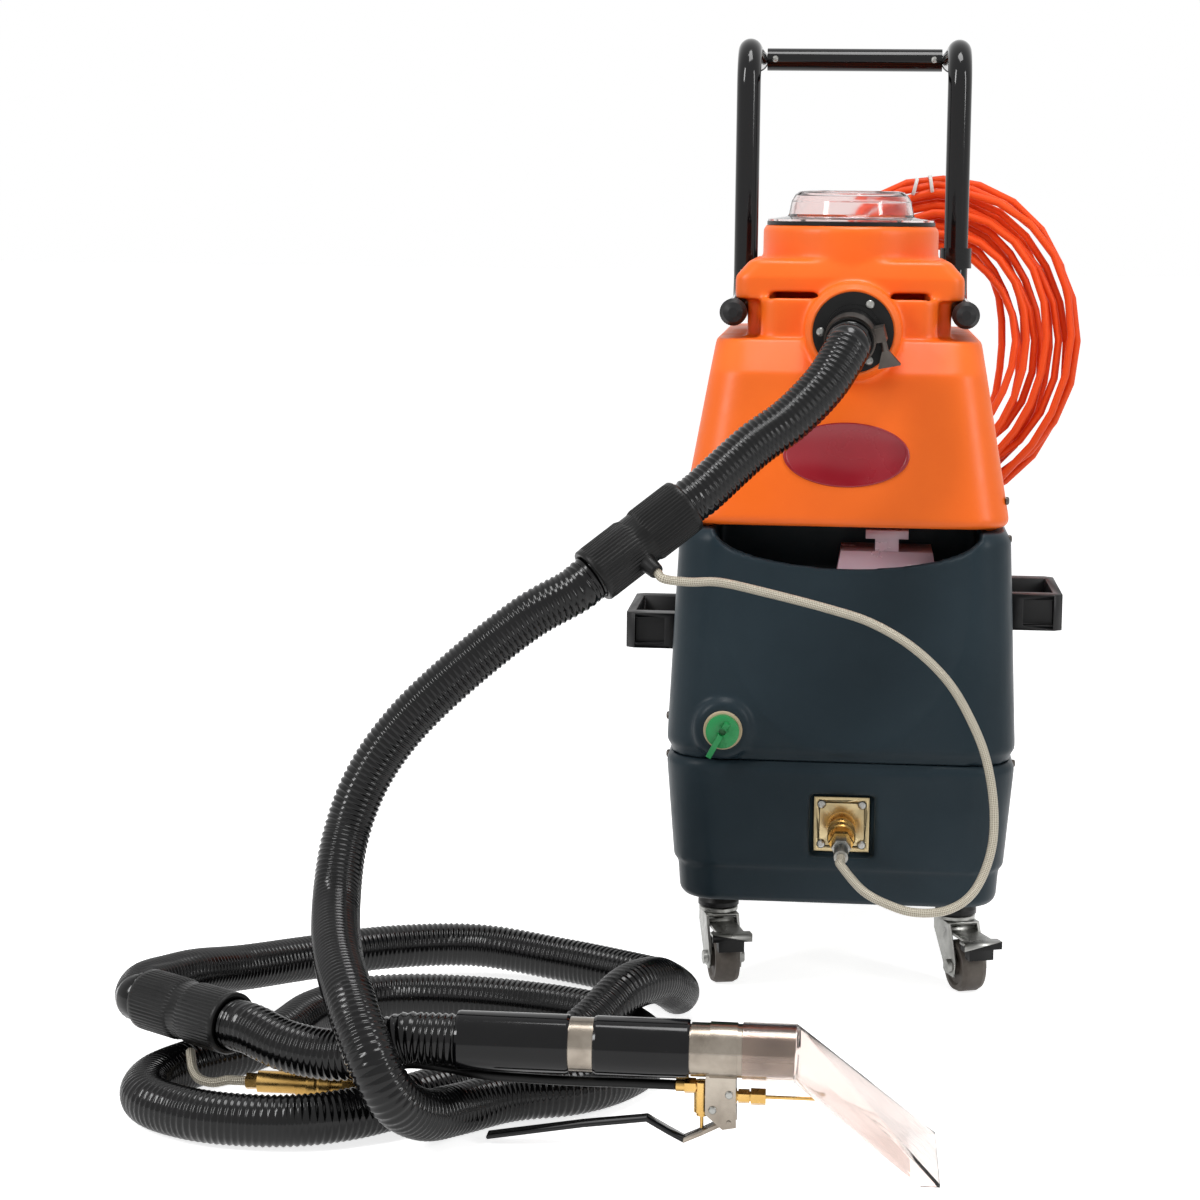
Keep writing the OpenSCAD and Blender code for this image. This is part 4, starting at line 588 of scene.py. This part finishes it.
def make_hoses():
    port_nub("port_upper", PORT_BASE, PORT_DIR)
    cuffs = [hose_cuff("cuff_upper", CUFF_MID_UPPER, CUFF_DIR_UPPER),
             hose_cuff("cuff_lower", CUFF_MID_LOWER, CUFF_DIR_LOWER)]
    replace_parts(cuffs[0], "hose_cuffs")
    upper, line, length = ribbed_hose("suction_hose_upper", UPPER_ROUTE, "hose_upper")
    main, line, length = ribbed_hose("suction_hose_main", MAIN_ROUTE, "hose_main")
    tool, line, length = ribbed_hose("suction_hose_tool", TOOL_ROUTE, "hose_tool")


COUPLER = Vector((3, 11, 180))
COUPLER_DIR = Vector((0, -math.cos(math.radians(8)), -math.sin(math.radians(8))))
FERRULE_END = COUPLER + 84 * COUPLER_DIR
SOLUTION_ROUTE = route(
    FERRULE_END + 0.2 * COUPLER_DIR, FERRULE_END + 10 * COUPLER_DIR, FERRULE_END + 18 * COUPLER_DIR,
    (22, -114, 150), (43, -121, 140), (69, -126, 134), (99, -120, 136), (122, -108, 151),
    (136, -98, 184), (138, -92, 222), (130, -90, 267), (114, -90, 305), (93, -92, 338),
    (62, -95, 367), (26, -99, 388), (-12, -107, 401), (-70, -122, 417), (-108, -139, 427),
    (-133, -156, 429), PORT_BASE + 24 * PORT_DIR, PORT_BASE + 14 * PORT_DIR, PORT_BASE + 4 * PORT_DIR)
SOLUTION_D, THIN_D = 8.0, 8.0
TIP_X, BRASS_Y, BRASS_Z = -484, -345, 29
VALVE_Z = 54
LINE_FROM = Vector((TIP_X + 94, BRASS_Y, BRASS_Z))
LINE_TO = Vector((-125, WAND_Y, VALVE_Z))
TOOL_LINE_ROUTE = route(
    LINE_FROM + Vector((0.2, 0, 0)), LINE_FROM + Vector((5, 0, 0)), LINE_FROM + Vector((8, 0, 0)),
    (-367, -345, 40.5), (-352, -350, 50), (-332, -360, 54), (-310, -369, 54.5), (-280, -378, 53.5),
    (-220, -384, 53.5), (-165, WAND_Y, 54), LINE_TO - Vector((9, 0, 0)), LINE_TO - Vector((0.2, 0, 0)))
FEED_ROUTE = route(
    (TIP_X - 0.2, BRASS_Y, BRASS_Z), (TIP_X - 10, BRASS_Y, BRASS_Z), (TIP_X - 16, BRASS_Y, BRASS_Z),
    (-512, -347, 27), (-524, -345, 29), (-531, -338, 34), (-535, -328, 40), (-538, -318, 43))


def make_lines():
    """The three thin hoses: braided solution hose, line along the wand, and feed hose."""
    line = even_steps(world_line(SOLUTION_ROUTE), 420)
    hose = paint(swept("solution_hose_braided", line, lambda i, a: SOLUTION_D / 2 * MM, 24), BRAID)
    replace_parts(hose, "solution_hose")
    distances(line)[-1]
    line = even_steps(world_line(TOOL_LINE_ROUTE), 120)
    hose = paint(swept("wand_line", line, lambda i, a: THIN_D / 2 * MM, THIN_SIDES), BLACK_RUBBER)
    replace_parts(hose, "tool_line")
    distances(line)[-1]
    line = even_steps(world_line(FEED_ROUTE), 60)
    hose = paint(swept("feed_hose", line, lambda i, a: THIN_D / 2 * MM, THIN_SIDES), BRAID)
    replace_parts(hose, "feed_line")
    distances(line)[-1]


CORD_D = 8.5
COIL_MID = Vector((100, 570, 602))
COIL_WIDE, COIL_HIGH = 150, 180
COIL_PITCH, LAYER_STEP, COIL_LAYERS = 22, CORD_D + 1.5, 4
COIL_START, COIL_TURNS, CLIMB_TURNS, TAIL_TURNS = -55, 3, 0.4, 0.45
LAYER_TURNS = COIL_TURNS + CLIMB_TURNS
COIL_END = COIL_LAYERS * COIL_TURNS + (COIL_LAYERS - 1) * CLIMB_TURNS + TAIL_TURNS
COIL_RINGS = 24
GLAND_END = Vector((75, 524, 190))


def sine(degrees):
    return math.sin(math.radians(degrees))


def coil_point(u):
    """Centre line after u turns: layer k winds inwards and the next one outwards."""
    k = min(math.floor(u / LAYER_TURNS), COIL_LAYERS - 1)
    t = u - k * LAYER_TURNS
    run, layer = t, k
    if k < COIL_LAYERS - 1:
        climb = min(max((t - COIL_TURNS) / CLIMB_TURNS, 0), 1)
        run, layer = min(t, COIL_TURNS), k + climb * climb * (3 - 2 * climb)
    depth = run if k % 2 == 0 else COIL_TURNS - run
    a = COIL_START + 360 * u
    loose = 1 - 0.8 * max(sine(a), 0) ** 4
    wander = loose * (6 * sine(2 * a + 97 * layer) + 6 * sine(0.83 * a + 50 * layer))
    r = wander - COIL_PITCH * depth
    return COIL_MID + Vector(((COIL_WIDE + r) * math.cos(math.radians(a)), LAYER_STEP * layer,
                              (COIL_HIGH + r) * sine(a)))


TIE_RINGS = 48
TIE_DEEP, TIE_HIGH = 21.5, 9.5


def cord_tie(name, x, lean):
    """Thin band pulled round the outer turns at the top of the coil."""
    z = COIL_MID.z + COIL_HIGH * math.sqrt(1 - ((x - COIL_MID.x) / COIL_WIDE) ** 2)
    middle_y = COIL_MID.y + LAYER_STEP * (COIL_LAYERS - 1) / 2
    loop = []
    for k in range(TIE_RINGS + 1):
        a = 2 * math.pi * k / TIE_RINGS
        c, w = math.cos(a), math.sin(a)
        y = middle_y + TIE_DEEP * math.copysign(abs(c) ** 0.5, c)
        high = TIE_HIGH * math.copysign(abs(w) ** 0.6, w)
        loop.append(at(x + lean * high, y, z + high))
    return paint(swept(name, loop, lambda i, a: (1.1 + 0.9 * abs(math.cos(a))) * MM, 12, first=(1, 0, 0),
                       closed_ends=False), WHITE)


def make_cord():
    """Lead, coil and tail as the one cable that they are, in a single open spline."""
    steps = round(COIL_END * COIL_RINGS)
    coil = [coil_point(COIL_END * i / steps) for i in range(steps + 1)]
    into, out = (coil[1] - coil[0]).normalized(), (coil[-1] - coil[-2]).normalized()
    first, last = coil[0] - 12 * into, coil[-1] + 12 * out
    ahead = Vector((0, 1, 0))
    lead = smooth_line(route(
        GLAND_END - 5 * ahead, GLAND_END + 5 * ahead, GLAND_END + 11 * ahead, (85, 552, 199),
        (108, 562, 224), (136, 567, 266), (158, 569, 320), (169, 570, 380), (170, 570, 415),
        first - 20 * into, first - 10 * into, first - 0.1 * into), 6)
    tail = smooth_line(route(
        last + 0.1 * out, last + 10 * out, last + 20 * out, (-55, 601, 520), (-50, 602, 460),
        (-47, 602, 410), (-46, 602, 372), (-46, 602, 362)), 6)
    ties = [cord_tie("cord_tie_a", 70, 0.25), cord_tie("cord_tie_b", 88, -0.15)]
    line = [p * MM + SHIFT for p in lead + coil + tail]
    curve = bpy.data.curves.new("mains_lead", "CURVE")
    curve.dimensions = "3D"
    curve.bevel_depth = 1.0
    curve.bevel_resolution = 4
    spline = curve.splines.new("POLY")
    spline.points.add(len(line) - 1)
    for point, p in zip(spline.points, line):
        point.co = (*p, 1)
        point.radius = CORD_D / 2 * MM
    spline.use_smooth = True
    cord = bpy.data.objects.new("mains_lead", curve)
    bpy.context.collection.objects.link(cord)
    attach(cord, "machine")
    paint(cord, CORD_ORANGE)
    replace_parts(cord, "cord_lead", "cord_coil", "cord_tail")
    distances(line)[-1]


make_hoses()
make_lines()
make_cord()


# ---------- Carried-over nodes ----------

NODE_LOOKS = {
    GREY: "base_housing solution_tank",
    ORANGE: "recovery_tank",
    CLEAR: "lid_dome",
    CLEAR_HEAD: "wand_head",
    PINK: "fill_lid",
    BLACK_RUBBER: "lid_gasket inlet_flange cord_gland power_plug",
    SLEEVE: "wand_sleeves",
    BLACK_PLASTIC: "carry_handle_left carry_handle_right handle_end_caps caster_cones drain_spout "
                   "trigger_lever",
    BLACK_PAINT: "handle_tube_left handle_tube_right handle_crossbar cord_hook",
    ZINC: "chassis_plate caster_fork_left caster_fork_right brake_pedal_left brake_pedal_right rear_axle "
          "screws hose_ferrule",
    DARK_STEEL: "hose_clamp",
    STEEL: "wand_tube",
    BRASS: "coupler_nipple coupler_collar tool_coupler tool_collar valve_body valve_stem",
    YELLOW_ZINC: "coupler_plate",
    TREAD: "caster_wheel_left caster_wheel_right",
    REAR_TREAD: "rear_wheel_left rear_wheel_right",
    GREEN: "drain_key pump_switch",
    RED: "vacuum_switch drain_lever",
    MOTOR: "vacuum_motor solution_pump",
    WHITE: "standpipe float_ball",
}
for look, names in NODE_LOOKS.items():
    for node in names.split():
        paint(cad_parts[node], look)


# ---------- Casing ----------

SHELL_VOXEL, SHELL_PASSES = 2.5, 6
for node, name, look in (("base_housing", "base_shell", GREY), ("solution_tank", "solution_shell", GREY),
                         ("recovery_tank", "recovery_shell", ORANGE)):
    paint(softened(node, name, SHELL_VOXEL, SHELL_PASSES), look)


# ---------- Small fittings ----------

PEDAL_GRIP_TOP = 54.9
LEVER_BARE_FROM = -118


def face_looks(piece, looks, pick):
    """Gives each face the look that pick() names for its middle, in machine millimetres."""
    paint(piece, *looks)
    for face in piece.data.polygons:
        face.material_index = pick((face.center - SHIFT) / MM)


def small_nodes():
    """Small moulded and pressed pieces, with their edges rounded."""
    for side in ("left", "right"):
        paint(bevelled("caster_fork_" + side, "swivel_fork_" + side, 0.5, "caster_" + side), ZINC)
        pedal = bevelled("brake_pedal_" + side, "brake_" + side, 0.4, "pedal_" + side)
        face_looks(pedal, (ZINC, BLACK_RUBBER), lambda p: int(p.z < PEDAL_GRIP_TOP))
        paint(bevelled("carry_handle_" + side, "lifting_handle_" + side, 1.2), BLACK_PLASTIC)
    lever = bevelled("trigger_lever", "squeeze_lever", 0.4, "trigger")
    face_looks(lever, (BLACK_PAINT, STEEL), lambda p: int(p.x > LEVER_BARE_FROM))
    paint(bevelled("fill_lid", "filler_cover", 1.5, "fill_cover"), PINK)
    paint(bevelled("drain_key", "drain_tap_key", 0.6, "drain_tap"), GREEN)
    paint(bevelled("coupler_plate", "coupler_backplate", 0.4), YELLOW_ZINC)


SLOPE = math.atan2(32, 135)      # the front of the tank, from upright
BADGE_AT = (0, 39.6, 525)
BADGE_HALF = (59, 30.5)


def badge():
    """Plain oval plate with a raised rim on the sloping front of the tank."""
    outward = Vector((0, -math.cos(SLOPE), math.sin(SLOPE)))
    low = Matrix.Scale(BADGE_HALF[1] / BADGE_HALF[0], 4, Vector((0, 1, 0)))
    r = BADGE_HALF[0]
    profile = [(r, -2), (r, 1), (r - 0.6, 1.7), (r - 2.2, 1.9), (r - 3.2, 1.5), (r - 3.8, 1.1), (0, 1.1)]
    return paint(turned("badge_plate", profile, pointing(at(*BADGE_AT), outward) @ low, sides=128), BADGE)


DRAIN_AT = (-109, -5, 269.5)


def drain_seal():
    """Soft ring between the drain boss and its key."""
    profile = [(10.3, -0.2), (10.3, 1.8), (11, 2.2), (17, 2.2), (18, 1.4), (18.3, -0.2)]
    return paint(turned("drain_seal", profile, pointing(at(*DRAIN_AT), (0, -1, 0))), SEAL)


SCREW_Y = 60
SIDE_SCREWS = [(151, 483), (154.5, 447), (163.4, 233), (-163.8, 270), (-163.4, 233)]


def side_screws():
    """Screws in the flanks of the tanks and the base, each with a socket in its head."""
    profile = [(3.8, -1), (3.8, 0.6), (3.3, 1.6), (2.2, 2.1), (1.6, 2.2), (1.5, 1.0), (0, 1.0)]
    for number, (x, z) in enumerate(SIDE_SCREWS):
        place = pointing(at(x, SCREW_Y, z), (math.copysign(1, x), 0, 0))
        paint(turned(f"side_screw_{number}", profile, place, sides=32), DARK_STEEL)


small_nodes()
badge()
drain_seal()
side_screws()


# ---------- Stage ----------

def seen_directly(nodes, links):
    """1 for rays from the camera, and for those that metal or clear plastic passes on to the background."""
    path = nodes.new("ShaderNodeLightPath")
    level = path.outputs["Is Camera Ray"]
    for kind in ("Is Glossy Ray", "Is Transmission Ray"):
        more = nodes.new("ShaderNodeMath")
        more.operation = "MAXIMUM"
        links.new(level, more.inputs[0])
        links.new(path.outputs[kind], more.inputs[1])
        level = more.outputs[0]
    return level


FLOOR_HALF = 30
FLOOR_GLOW, WORLD_FILL = 0.78, 0.25


def make_stage():
    """White floor and backdrop; the floor keeps the object's shadow."""
    size = FLOOR_HALF
    floor = add_mesh("floor", [(-size, -size, 0), (size, -size, 0), (size, size, 0), (-size, size, 0)],
                     [(0, 1, 2, 3)], smooth=False)
    floor.location.z = -0.0002
    look = Look("floor", Roughness=0.9)
    look.color(look.ramp(look.noise(3.0), [(0.2, (0.86, 0.86, 0.86)), (0.8, (0.9, 0.9, 0.9))]))
    look.shader.inputs["Emission Color"].default_value = (1, 1, 1, 1)
    glow = look.add("ShaderNodeMath", operation="MULTIPLY")
    glow.inputs[1].default_value = FLOOR_GLOW
    look.links.new(seen_directly(look.nodes, look.links), glow.inputs[0])
    look.links.new(glow.outputs[0], look.shader.inputs["Emission Strength"])
    paint(floor, look.material)

    world = bpy.data.worlds.new("studio")
    bpy.context.scene.world = world
    world.use_nodes = True
    nodes, links = world.node_tree.nodes, world.node_tree.links
    background = nodes["Background"]
    level = nodes.new("ShaderNodeMapRange")
    level.inputs["To Min"].default_value = WORLD_FILL
    level.inputs["To Max"].default_value = 1.0
    links.new(seen_directly(nodes, links), level.inputs["Value"])
    background.inputs["Color"].default_value = (1, 1, 1, 1)
    links.new(level.outputs["Result"], background.inputs["Strength"])


LIGHT_TARGET = (0, 0.1, 0.4)


def area_light(name, place, size, power):
    data = bpy.data.lights.new(name, "AREA")
    data.shape = "RECTANGLE"
    data.size, data.size_y = size
    data.energy = power
    lamp = bpy.data.objects.new(name, data)
    lamp.matrix_world = pointing(Vector(place), Vector(place) - Vector(LIGHT_TARGET))
    bpy.context.collection.objects.link(lamp)


make_stage()
area_light("key_left", (-2.2, -1.8, 2.2), (0.5, 1.6), 54)
area_light("fill_right", (2.4, -1.4, 1.7), (0.35, 1.6), 28)
area_light("top", (0.2, -0.2, 3.0), (1.1, 1.1), 42)

bpy.context.scene.view_settings.view_transform = "Standard"
